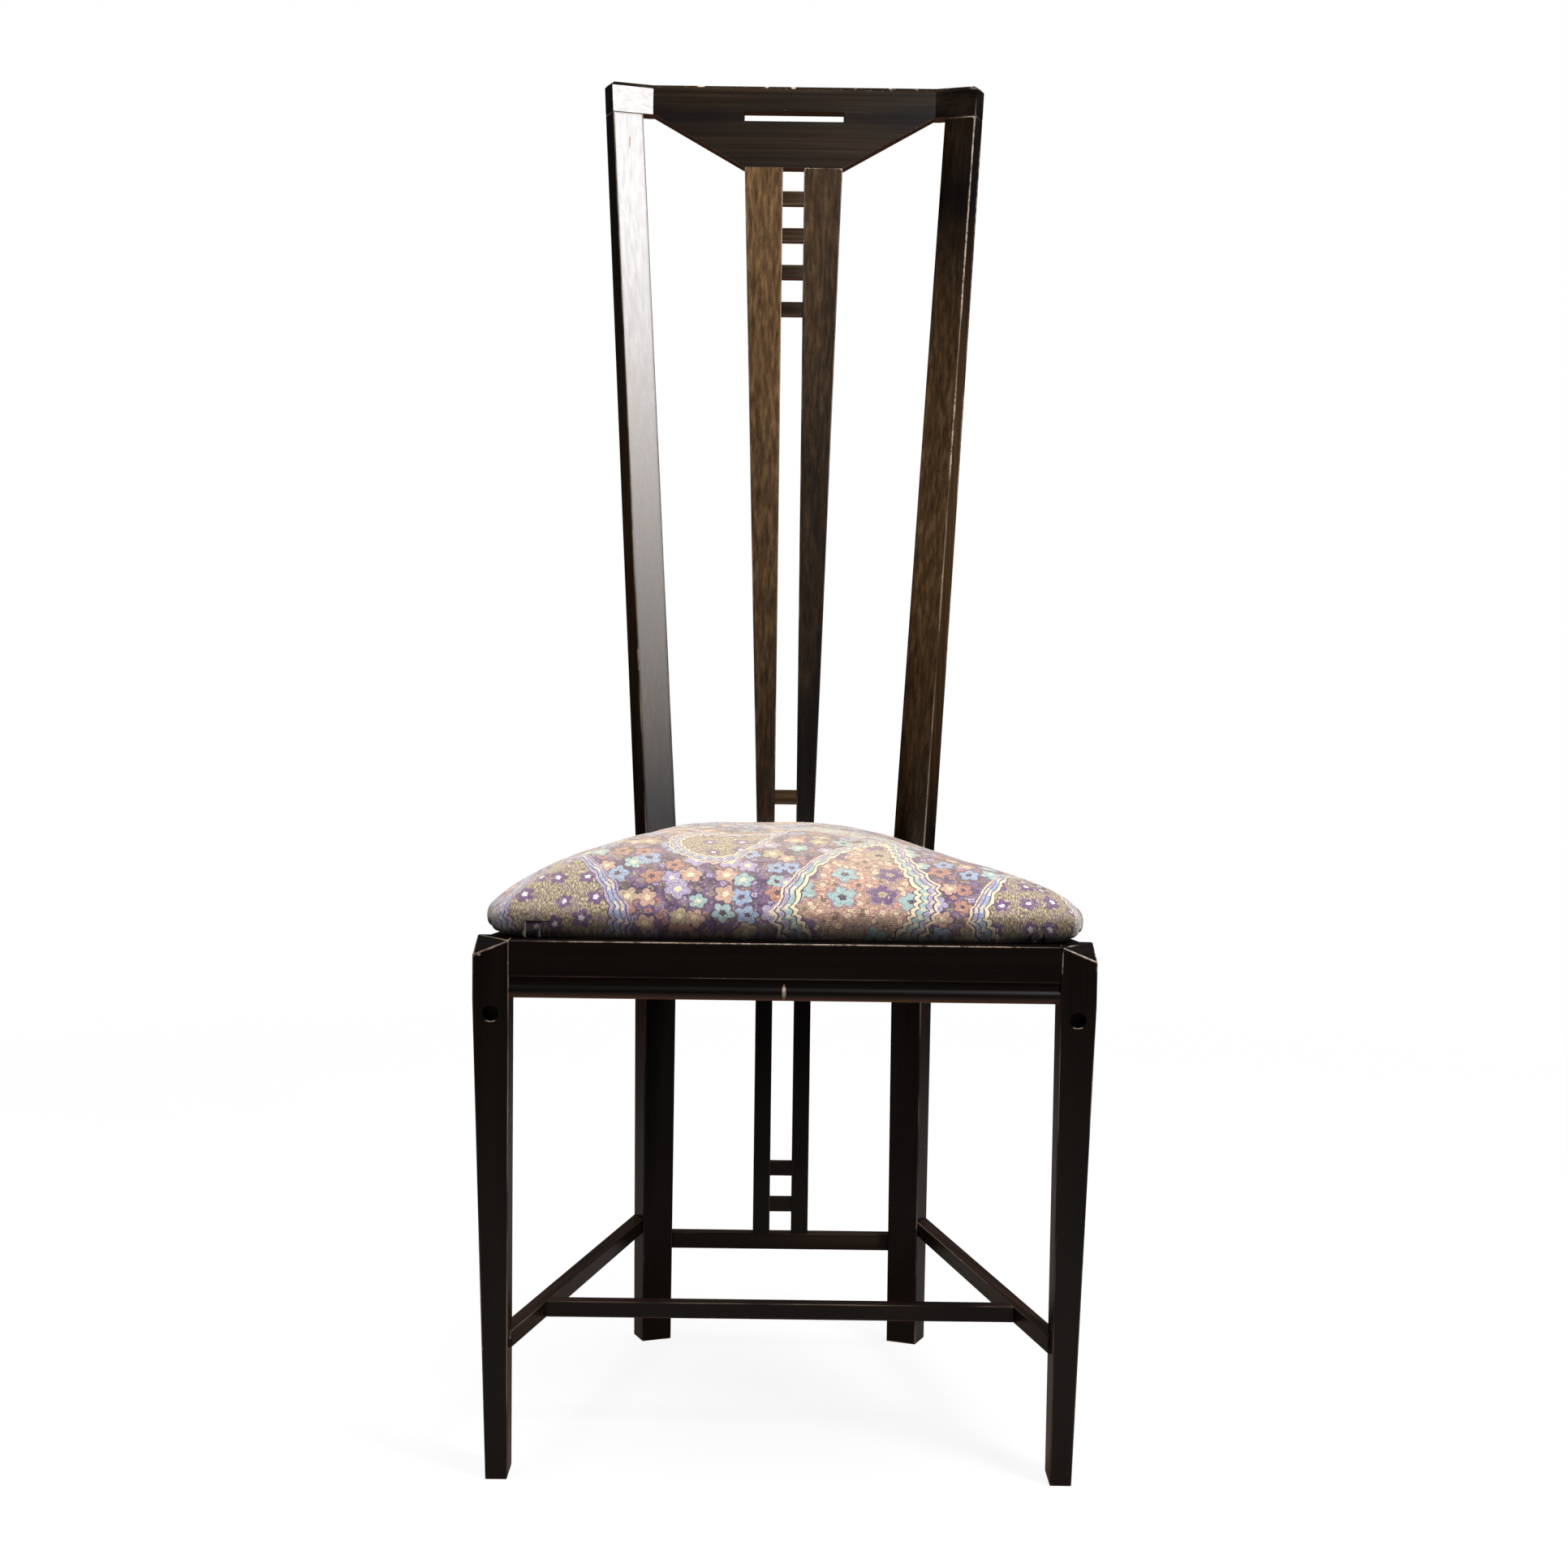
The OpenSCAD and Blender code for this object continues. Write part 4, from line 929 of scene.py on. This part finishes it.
# %% The layout of the teardrops
# Each row: place, half length, turn in degrees, curl, scallops, field, band and rope
TEARDROPS = [
    ((-0.020, 0.020), 0.110, 78, 0.55, 30, "coral", AQUA, LILAC),
    ((-0.150, 0.050), 0.085, -40, -0.5, 26, "pool", SAND, CREAM),
    ((0.130, 0.060), 0.088, 35, 0.5, 26, "khaki", AQUA, CREAM),
    ((0.060, -0.085), 0.078, 100, 0.5, 26, "pool", SAND, LILAC),
    ((-0.115, -0.075), 0.082, -105, 0.5, 26, "coral", LILAC, CREAM),
    ((0.172, -0.085), 0.078, 20, -0.5, 26, "pool", SAND, LILAC),
    ((-0.055, -0.160), 0.078, -72, -0.45, 26, "khaki", SKY, CREAM),
    ((0.052, -0.238), 0.128, 14, 0.45, 40, "coral", AQUA, CREAM),
    ((-0.172, -0.250), 0.112, -12, -0.4, 34, "khaki", SKY, LILAC),
    ((0.192, -0.245), 0.108, 14, 0.4, 34, "khaki", SKY, CREAM),
]


def paisley(tree, flat, weave):
    """The whole picture: every teardrop over the flowered ground."""
    fields = {name: cloth_field(tree, flat, weave, name) for name in FIELDS}
    picture = fields["ground"]
    for place, size, turn, curl, lobes, field, band, rope in TEARDROPS:
        edge, angle = teardrop(tree, flat, place, size, turn, curl, lobes)
        border = bordered(tree, edge, angle, lobes, band, rope)
        drop = blend_colours(tree, fade(tree, edge, 0.690, 0.697), fields[field], border)
        picture = blend_colours(tree, sums(tree, "LESS_THAN", edge, 1.0), picture, drop)
    return picture


print("teardrops:", len(TEARDROPS))

# %% Fading, painted shade and sheen, and single threads
SEAT_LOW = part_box("seat_cover")[0].z + 3 * MM


def aged(tree, picture, weave):
    """The picture with faded places, pale and dark threads, painted shade low down and a painted
    sheen on the top.
    """
    colour = picture
    for by, limits, thread in (
        ("mottle", (0.3, 0.7, 0.04, 0.20), SAND),
        ("grains", (0.60, 0.70, 0.0, 0.55), CREAM),
        ("grains", (0.42, 0.30, 0.0, 0.55), PLUM),
    ):
        colour = blend_colours(tree, fade(tree, weave[by], *limits), colour, rgba(thread))
    shade = fade(tree, weave["hatch"], 0.35, 0.65, 0.72, 1.15)
    colour = blend_colours(tree, 1.0, colour, shade, "MULTIPLY")
    level = plus(tree, axes(tree, own_place(tree))[2], times(tree, weave["mottle"], 0.006))
    # Painted shade: the cloth grows darker towards its lower edge, where little light reaches it
    painted_shade_low = fade(tree, level, SEAT_LOW, SEAT_LOW + 0.032, 0.2)
    colour = blend_colours(tree, 1.0, colour, painted_shade_low, "MULTIPLY")
    # Painted sheen: the top pales towards cream, as light glancing off it makes it look
    painted_sheen_top = fade(tree, level, SEAT_LOW + 0.035, SEAT_LOW + 0.075, 0.0, 0.20)
    return blend_colours(tree, painted_sheen_top, colour, rgba(CREAM))


# %% The cloth's recipe
WARP, WEFT = 1.4 * MM, 1.2 * MM


def tapestry(name):
    """Woven paisley cloth on the piece's own flat map."""
    material, tree, shader = new_material(name)
    flat_map = tree.nodes.new("ShaderNodeUVMap")
    flat_map.uv_map = "cloth"
    raw = flat_map.outputs["UV"]
    wobble = speckle(tree, raw, 60, 3.0, 0.6, "Color")
    shake = arrow(tree, "SUBTRACT", wobble, (0.5, 0.5, 0.5))
    shake = arrow(tree, "MULTIPLY", shake, (0.005, 0.005, 0.0))
    weave = {
        "hatch": speckle(tree, arrow(tree, "MULTIPLY", raw, (1000, 300, 0)), 1.0, 2.0, 0.6),
        "across": speckle(tree, arrow(tree, "MULTIPLY", raw, (260, 1000, 0)), 1.0, 2.0, 0.6),
        "mottle": speckle(tree, raw, 70, 4.0, 0.65),
        "grains": speckle(tree, raw, 420, 2.0, 0.6),
    }
    picture = paisley(tree, arrow(tree, "ADD", raw, shake), weave)
    tree.links.new(aged(tree, picture, weave), shader.inputs["Base Color"])
    shader.inputs["Roughness"].default_value = 0.88
    shader.inputs["Specular IOR Level"].default_value = 0.15
    shader.inputs["Sheen Weight"].default_value = 0.6
    shader.inputs["Sheen Roughness"].default_value = 0.45
    shader.inputs["Sheen Tint"].default_value = (1.0, 0.94, 0.87, 1)

    x, y, _ = axes(tree, raw)
    threads = [
        sums(tree, "SINE", times(tree, axis, 2 * math.pi / apart))
        for axis, apart in ((x, WARP), (y, WEFT))
    ]
    ribs = times(tree, *threads)
    height = plus(tree, times(tree, ribs, 0.35), times(tree, weave["hatch"], 0.9))
    height = plus(tree, height, times(tree, weave["mottle"], 1.2))
    bumped(tree, shader, height, 0.4 * MM, 0.8)
    return material


cloth = tapestry("paisley_cloth")
print("nodes in the cloth:", len(cloth.node_tree.nodes))

# %% [markdown]
# ## The stuffed seat
# The pad is a foam block under tight cloth, tacked below the seat board. It starts from the
# packed pad's outer form, drawn in a little above its side, and a cloth simulation with some
# air pressure inside lets it swell, held fast along its lower edge. Most of the swelling is
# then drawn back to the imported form. Years of use have sunk the pad's right side, while its
# left side stands fuller, and its front corners bulge out over the frame. At the end its
# bottom gets the pocket that holds the seat board.

# %% The pad's outer form
DRAWN_IN_ABOVE = 25 * MM
DRAWN_IN_MM = 2.0
cover_low, cover_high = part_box("seat_cover")
hull_bm = bmesh.new()
for vert in nodes["seat_cover"].data.vertices:
    hull_bm.verts.new(vert.co)
buried = bmesh.ops.convex_hull(hull_bm, input=hull_bm.verts)["geom_interior"]
buried = [g for g in buried if isinstance(g, bmesh.types.BMVert)]
bmesh.ops.delete(hull_bm, geom=buried, context="VERTS")
hull_bm.normal_update()
hull_tree = BVHTree.FromBMesh(hull_bm)
pad_mesh = bpy.data.meshes.new("seat_pad")
start_bm = hull_bm.copy()
for vert in start_bm.verts:
    if vert.co.z > cover_low.z + DRAWN_IN_ABOVE:
        vert.co -= vert.normal * DRAWN_IN_MM * MM
start_bm.to_mesh(pad_mesh)
start_bm.free()
pad = add_object("seat_pad", pad_mesh)
print("pad box:", [round(v, 4) for v in (*cover_low, *cover_high)])

# %% Apply what the modifiers make, and give the pad an even mesh
VOXEL = 6 * MM


def settle(piece):
    """Replaces a piece's mesh by what its modifiers make of it."""
    ready = piece.evaluated_get(bpy.context.evaluated_depsgraph_get())
    made = bpy.data.meshes.new_from_object(ready)
    piece.modifiers.clear()
    piece.data = made


remesh = pad.modifiers.new("even_mesh", "REMESH")
remesh.mode = "VOXEL"
remesh.voxel_size = VOXEL
settle(pad)
print("even mesh:", len(pad.data.vertices), "vertices")

# %% Let the cloth swell
TACKED = 3 * MM
HELD_SHARE, HELD_REACH = 0.6, 0.02
SWELL_FRAMES = 20
LARGEST_MOVE = 8 * MM
before = [v.co.copy() for v in pad.data.vertices]
held = pad.vertex_groups.new(name="tacked")
for vert in pad.data.vertices:
    height = vert.co.z - cover_low.z
    share = 1.0 if height < TACKED else max(0.0, HELD_SHARE - height / HELD_REACH)
    held.add([vert.index], share, "REPLACE")
swell = pad.modifiers.new("swell", "CLOTH")
swell.settings.quality = 3
swell.settings.mass = 0.3
swell.settings.tension_stiffness = 15
swell.settings.compression_stiffness = 15
swell.settings.bending_stiffness = 0.5
swell.settings.use_pressure = True
swell.settings.uniform_pressure_force = 4.0
swell.settings.effector_weights.gravity = 0
swell.settings.vertex_group_mass = "tacked"
swell.collision_settings.use_collision = False
for number in range(1, SWELL_FRAMES + 1):
    scene.frame_set(number)
settle(pad)
scene.frame_set(1)
for vert, old in zip(pad.data.vertices, before):
    move = vert.co - old
    if move.length > LARGEST_MOVE:
        vert.co = old + move.normalized() * LARGEST_MOVE
moves = [(v.co - old).length for v, old in zip(pad.data.vertices, before)]
print("largest move:", round(max(moves), 5))

# %% Draw the pad back to its form, and let its right side sink
SIDE_TOP = cover_low.z + 21 * MM
SKIN_MM = 0.2
DRAWN_BACK = 0.75
SUNK, FULLER = 0.17, 0.08


def rise(value, low, high):
    """A smooth step from 0 to 1."""
    share = min(1.0, max(0.0, (value - low) / (high - low)))
    return share * share * (3 - 2 * share)


sunk_bm = bmesh.new()
sunk_bm.from_mesh(pad.data)
upper = [v for v in sunk_bm.verts if v.co.z > SIDE_TOP]
for _ in range(3):
    bmesh.ops.smooth_vert(
        sunk_bm, verts=upper, factor=0.5, use_axis_x=True, use_axis_y=True, use_axis_z=True
    )
for vert in sunk_bm.verts:
    spot, normal, _, _ = hull_tree.find_nearest(vert.co)
    outside = (vert.co - spot).dot(normal)
    skin = spot - normal * SKIN_MM * MM
    if vert.co.z < SIDE_TOP or outside > -SKIN_MM * MM:
        vert.co = skin
    else:
        vert.co = vert.co.lerp(skin, DRAWN_BACK)
    x, y, z = vert.co
    sink = rise(x, 0.01, 0.14) * (1 - rise(x, 0.17, 0.235))
    full = rise(-x, 0.02, 0.13) * (1 - rise(-x, 0.17, 0.235))
    if z > SIDE_TOP:
        vert.co.z = SIDE_TOP + (z - SIDE_TOP) * (1 - SUNK * sink + FULLER * full)
    # Small lumps in the stuffing
    lump = noise.noise(Vector((x * 13, y * 13, 3.0)))
    vert.co.z += 1.5 * MM * lump * rise(z, SIDE_TOP, SIDE_TOP + 0.012)
    # The front corners are stuffed hardest, and swell out over the frame
    bulge = rise(-y, 0.0, 0.17) * rise(z, 0.4205, 0.4255) * (1 - 0.8 * rise(z, 0.447, 0.483))
    pucker = noise.noise(Vector((x * 45, y * 45, z * 25)))
    vert.co.x *= 1 + 0.066 * bulge * rise(abs(x), 0.10, 0.19)
    vert.co.y -= bulge * (2.5 + 1.2 * pucker) * MM
    # At the back the lower edge rests well on the rear rail, so that no light shows under it
    rest = rise(y, 0.10, 0.12) * (1 - rise(abs(x), 0.07, 0.09)) * (1 - rise(z, 0.4205, 0.4265))
    vert.co.y += 2.0 * MM * rest
print("pad vertices:", len(sunk_bm.verts))

# %% Lay the pattern on the pad without stretching it
CROWN = cover_high.z
DOME_RADIUS, DOME_POWER, DOME_ROOT = 0.20, 3.6, 0.85
PROFILE_STEPS = 400


def slack_table():
    """How much longer the way over the pad is than the way seen from above, for each height."""
    table, slack, last = [], 0.0, (0.0, CROWN)
    for number in range(1, PROFILE_STEPS + 1):
        share = number / PROFILE_STEPS
        radius = DOME_RADIUS * share
        height = SIDE_TOP + (CROWN - SIDE_TOP) * max(0.0, 1 - share ** DOME_POWER) ** DOME_ROOT
        slack += math.hypot(radius - last[0], height - last[1]) - (radius - last[0])
        last = (radius, height)
        table.append((height, slack))
    return table


slack_rows = slack_table()


def slack_at(height):
    """The slack at a height, read between the table's rows."""
    if height <= SIDE_TOP:
        return slack_rows[-1][1] + (SIDE_TOP - height)
    number = bisect.bisect_left(slack_rows, -height, key=lambda row: -row[0])
    if number == 0:
        return slack_rows[0][1]
    above, less = slack_rows[number - 1]
    below, more = slack_rows[min(number, PROFILE_STEPS - 1)]
    share = (above - height) / (above - below) if above > below else 0.0
    return less + (more - less) * share


def lay_cloth(bm):
    """Writes the flat map: a point's place from above, pushed outwards by the slack."""
    bm.normal_update()
    layer = bm.loops.layers.uv.new("cloth")
    flat = {}
    for vert in bm.verts:
        out = Vector((vert.normal.x, vert.normal.y))
        out = out.normalized() if out.length > 1e-4 else out
        flat[vert] = Vector((vert.co.x, vert.co.y)) + out * slack_at(vert.co.z)
    for face in bm.faces:
        for loop in face.loops:
            loop[layer].uv = flat[loop.vert]


print("slack at the side's top:", round(slack_at(SIDE_TOP), 4))

# %% Step an open rim onwards
def outward(rim_verts):
    """The level outward direction at each vertex of a level rim."""
    middle = sum((v.co for v in rim_verts), Vector()) / len(rim_verts)
    found = {}
    for vert in rim_verts:
        rim = [e.other_vert(vert).co for e in vert.link_edges if e.is_boundary]
        along = rim[0] - rim[-1]
        side = Vector((along.y, -along.x, 0)).normalized()
        found[vert] = side if side.dot(vert.co - middle) > 0 else -side
    return found


def step_rim(bm, rim_edges, move):
    """Extrudes a rim and moves each new vertex by what move gives for its outward direction."""
    made = bmesh.ops.extrude_edge_only(bm, edges=rim_edges)["geom"]
    new_verts = [g for g in made if isinstance(g, bmesh.types.BMVert)]
    edges = [g for g in made if isinstance(g, bmesh.types.BMEdge) and g.is_boundary]
    side = outward(new_verts)
    moves = {v: move(side[v]) for v in new_verts}
    for vert, step in moves.items():
        vert.co += step
    return edges


# %% The pocket in the pad's underside
HEM = 0.0205
BOARD_EDGE = 1.4 * MM
BOARD_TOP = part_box("seat_board")[1].z


def cut_pocket(bm):
    """Cuts the pad's bottom off level, and folds a hem and the seat board's pocket into it."""
    low = cover_low.z + 0.3 * MM
    geom = bm.verts[:] + bm.edges[:] + bm.faces[:]
    bmesh.ops.bisect_plane(
        bm, geom=geom, dist=1e-6, plane_co=(0, 0, low), plane_no=(0, 0, 1), clear_inner=True
    )
    rim = [e for e in bm.edges if e.is_boundary]
    for vert in {v for e in rim for v in e.verts}:
        vert.co.z = low
    # The hem in two steps, its thickness, and the pocket's floor and wall
    rim = step_rim(bm, rim, lambda out: -out * HEM * 0.5 + Vector((0, 0, -0.2 * MM)))
    rim = step_rim(bm, rim, lambda out: -out * HEM * 0.5)
    rim = step_rim(bm, rim, lambda out: Vector((0, 0, 1.1 * MM)))
    rim = step_rim(bm, rim, lambda out: out * (HEM - BOARD_EDGE))
    rim = step_rim(bm, rim, lambda out: Vector((0, 0, BOARD_TOP + 0.2 * MM - low - 0.9 * MM)))
    bmesh.ops.edgeloop_fill(bm, edges=rim)


# %% Finish the pad
sunk_bm.to_mesh(pad.data)
sunk_bm.free()
finer = pad.modifiers.new("finer", "SUBSURF")
finer.levels = 1
finer.render_levels = 1
settle(pad)
bm = bmesh.new()
bm.from_mesh(pad.data)
cut_pocket(bm)
lay_cloth(bm)
bmesh.ops.recalc_face_normals(bm, faces=bm.faces)
for face in bm.faces:
    face.smooth = True
bm.to_mesh(pad.data)
bm.free()
pad.data.materials.clear()
pad.data.materials.append(cloth)
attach(pad, "root")
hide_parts("seat_cover", "seat_foam")
print("pad triangles:", sum(len(f.vertices) - 2 for f in pad.data.polygons))

# %% [markdown]
# ## What is under the seat
# Turned over, the chair shows bare wooden corner blocks, screws, a black dust cover with
# staples round its edge, and inside the pad a plywood board.

# %% Bare wood and plywood
PALE_WOOD = [(0.25, (0.27, 0.155, 0.075)), (0.55, (0.46, 0.31, 0.17)), (0.8, (0.58, 0.43, 0.26))]
PLY_LINE = (0.20, 0.11, 0.05)
PALE_WOOD_CLOUD = (0.16, 0.10, 0.055)
PLY = 2.4 * MM


def bare_wood(name, plies=False):
    """Pale unfinished wood, or plywood with its plies showing at the edges."""
    material, tree, shader = new_material(name)
    spot = own_place(tree)
    streaks = speckle(tree, arrow(tree, "MULTIPLY", spot, (0.05, 1.0, 1.0)), 320, 3.0, 0.6)
    cloud = speckle(tree, spot, 22, 3.0, 0.6)
    colour = steps(tree, streaks, PALE_WOOD)
    if plies:
        layer = sums(tree, "SINE", times(tree, axes(tree, spot)[2], math.pi / PLY))
        lines = fade(tree, layer, -0.2, 0.2, 0.0, 0.45)
        colour = blend_colours(tree, lines, colour, rgba(PLY_LINE))
    clouded = fade(tree, cloud, 0.45, 0.75, 0.0, 0.35)
    colour = blend_colours(tree, clouded, colour, rgba(PALE_WOOD_CLOUD))
    tree.links.new(colour, shader.inputs["Base Color"])
    tree.links.new(fade(tree, streaks, 0.3, 0.7, 0.62, 0.8), shader.inputs["Roughness"])
    bumped(tree, shader, streaks, 0.3 * MM, 0.5)
    return material


raw_wood = bare_wood("bare_wood")
for number, corner in enumerate(("front_left", "front_right", "rear_left", "rear_right")):
    eased_piece(f"corner_block_{corner}", raw_wood, 0.1 * number, slot="bare_wood", **STRETCHER)
print("with the corner blocks:", pieces_made)

# %% Steel fasteners
ZINC = [(0.35, (0.36, 0.33, 0.27)), (0.6, (0.60, 0.59, 0.56))]
steel, tree, shader = new_material("zinc_plated_steel")
spot = own_place(tree)
brushed = speckle(tree, arrow(tree, "MULTIPLY", spot, (1.0, 1.0, 6.0)), 900, 2.0, 0.6)
tree.links.new(steps(tree, speckle(tree, spot, 260, 3.0, 0.6), ZINC), shader.inputs["Base Color"])
shader.inputs["Metallic"].default_value = 1.0
tree.links.new(fade(tree, brushed, 0.3, 0.7, 0.28, 0.48), shader.inputs["Roughness"])
bumped(tree, shader, brushed, 0.08 * MM, 0.4)


def dress(material, *names):
    """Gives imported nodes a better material."""
    for name in names:
        nodes[name].data.materials.clear()
        nodes[name].data.materials.append(material)
    print(material.name, "on", names)


dress(steel, "block_screws", "seat_screws", "dust_cover_staples")
dress(raw_wood, "crest_dowels")
dress(bare_wood("plywood", plies=True), "seat_board")

# %% The dust cover's cloth
FIBRES = [(0.3, (0.006, 0.006, 0.007)), (0.7, (0.028, 0.027, 0.029))]
DUST = (0.10, 0.09, 0.08)
felt, tree, shader = new_material("black_felt")
spot = own_place(tree)
fibres = speckle(tree, spot, 900, 3.0, 0.7)
dusty = fade(tree, speckle(tree, spot, 14, 4.0, 0.6), 0.5, 0.75, 0.0, 0.3)
colour = blend_colours(tree, dusty, steps(tree, fibres, FIBRES), rgba(DUST))
tree.links.new(colour, shader.inputs["Base Color"])
shader.inputs["Roughness"].default_value = 0.95
shader.inputs["Specular IOR Level"].default_value = 0.1
bumped(tree, shader, fibres, 0.4 * MM, 0.8)
print("nodes in the felt:", len(tree.nodes))

# %% The dust cover's outline
dust_low, dust_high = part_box("dust_cover")
halfway = (dust_low.z + dust_high.z) / 2
flat_bm = bmesh.new()
for vert in nodes["dust_cover"].data.vertices:
    if vert.co.z < halfway:
        flat_bm.verts.new((vert.co.x, vert.co.y, 0))
bmesh.ops.remove_doubles(flat_bm, verts=flat_bm.verts, dist=1e-5)
bmesh.ops.convex_hull(flat_bm, input=flat_bm.verts)
middle = Vector(((dust_low.x + dust_high.x) / 2, (dust_low.y + dust_high.y) / 2))
outline = sorted(
    {tuple(round(c, 6) for c in v.co[:2]) for v in flat_bm.verts if v.link_edges},
    key=lambda c: math.atan2(c[1] - middle.y, c[0] - middle.x),
)
flat_bm.free()
print("corners of the dust cover:", len(outline))

# %% A thin sheet that sags a little between its staples
GRID = 9 * MM
SAG, FOLDS = 0.28 * MM, 0.10 * MM
SHEET = 0.3 * MM
BASE = dust_high.z - 0.25 * MM
sheet_bm = bmesh.new()
sheet_bm.faces.new([sheet_bm.verts.new((x, y, 0)) for x, y in outline])
sheet_area = sum(f.calc_area() for f in sheet_bm.faces)
for axis, low, high in ((0, dust_low.x, dust_high.x), (1, dust_low.y, dust_high.y)):
    for number in range(1, int((high - low) / GRID)):
        normal = Vector((axis == 0, axis == 1, 0))
        cut = normal * (low + number * GRID)
        geom = sheet_bm.verts[:] + sheet_bm.edges[:] + sheet_bm.faces[:]
        bmesh.ops.bisect_plane(sheet_bm, geom=geom, dist=1e-6, plane_co=cut, plane_no=normal)


def from_rim(place):
    """The distance from a place on the sheet to the nearest run of its outline."""
    runs = [(Vector(a), Vector(b) - Vector(a)) for a, b in zip(outline, outline[1:] + outline[:1])]
    return min(abs((place - a).cross(run.normalized())) for a, run in runs if run.length > 1e-4)


for vert in sheet_bm.verts:
    vert.co.z = BASE
    if not vert.is_boundary:
        fold = noise.noise(Vector((vert.co.x * 24, vert.co.y * 24, 0.5)))
        vert.co.z = BASE - SAG * rise(from_rim(vert.co.xy), 0.004, 0.09) + FOLDS * fold
for face in sheet_bm.faces:
    face.smooth = True
print("sheet vertices:", len(sheet_bm.verts))

# %% Finish the dust cover
sheet_mesh = bpy.data.meshes.new("dust_cover_sheet")
sheet_bm.to_mesh(sheet_mesh)
sheet_bm.free()
sheet_mesh.materials.append(felt)
dust_sheet = add_object("dust_cover_sheet", sheet_mesh)
thick = dust_sheet.modifiers.new("thickness", "SOLIDIFY")
thick.thickness = SHEET
thick.offset = 0.0
settle(dust_sheet)
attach(dust_sheet, "root")
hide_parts("dust_cover")
print("dust cover area:", round(sheet_area, 4))
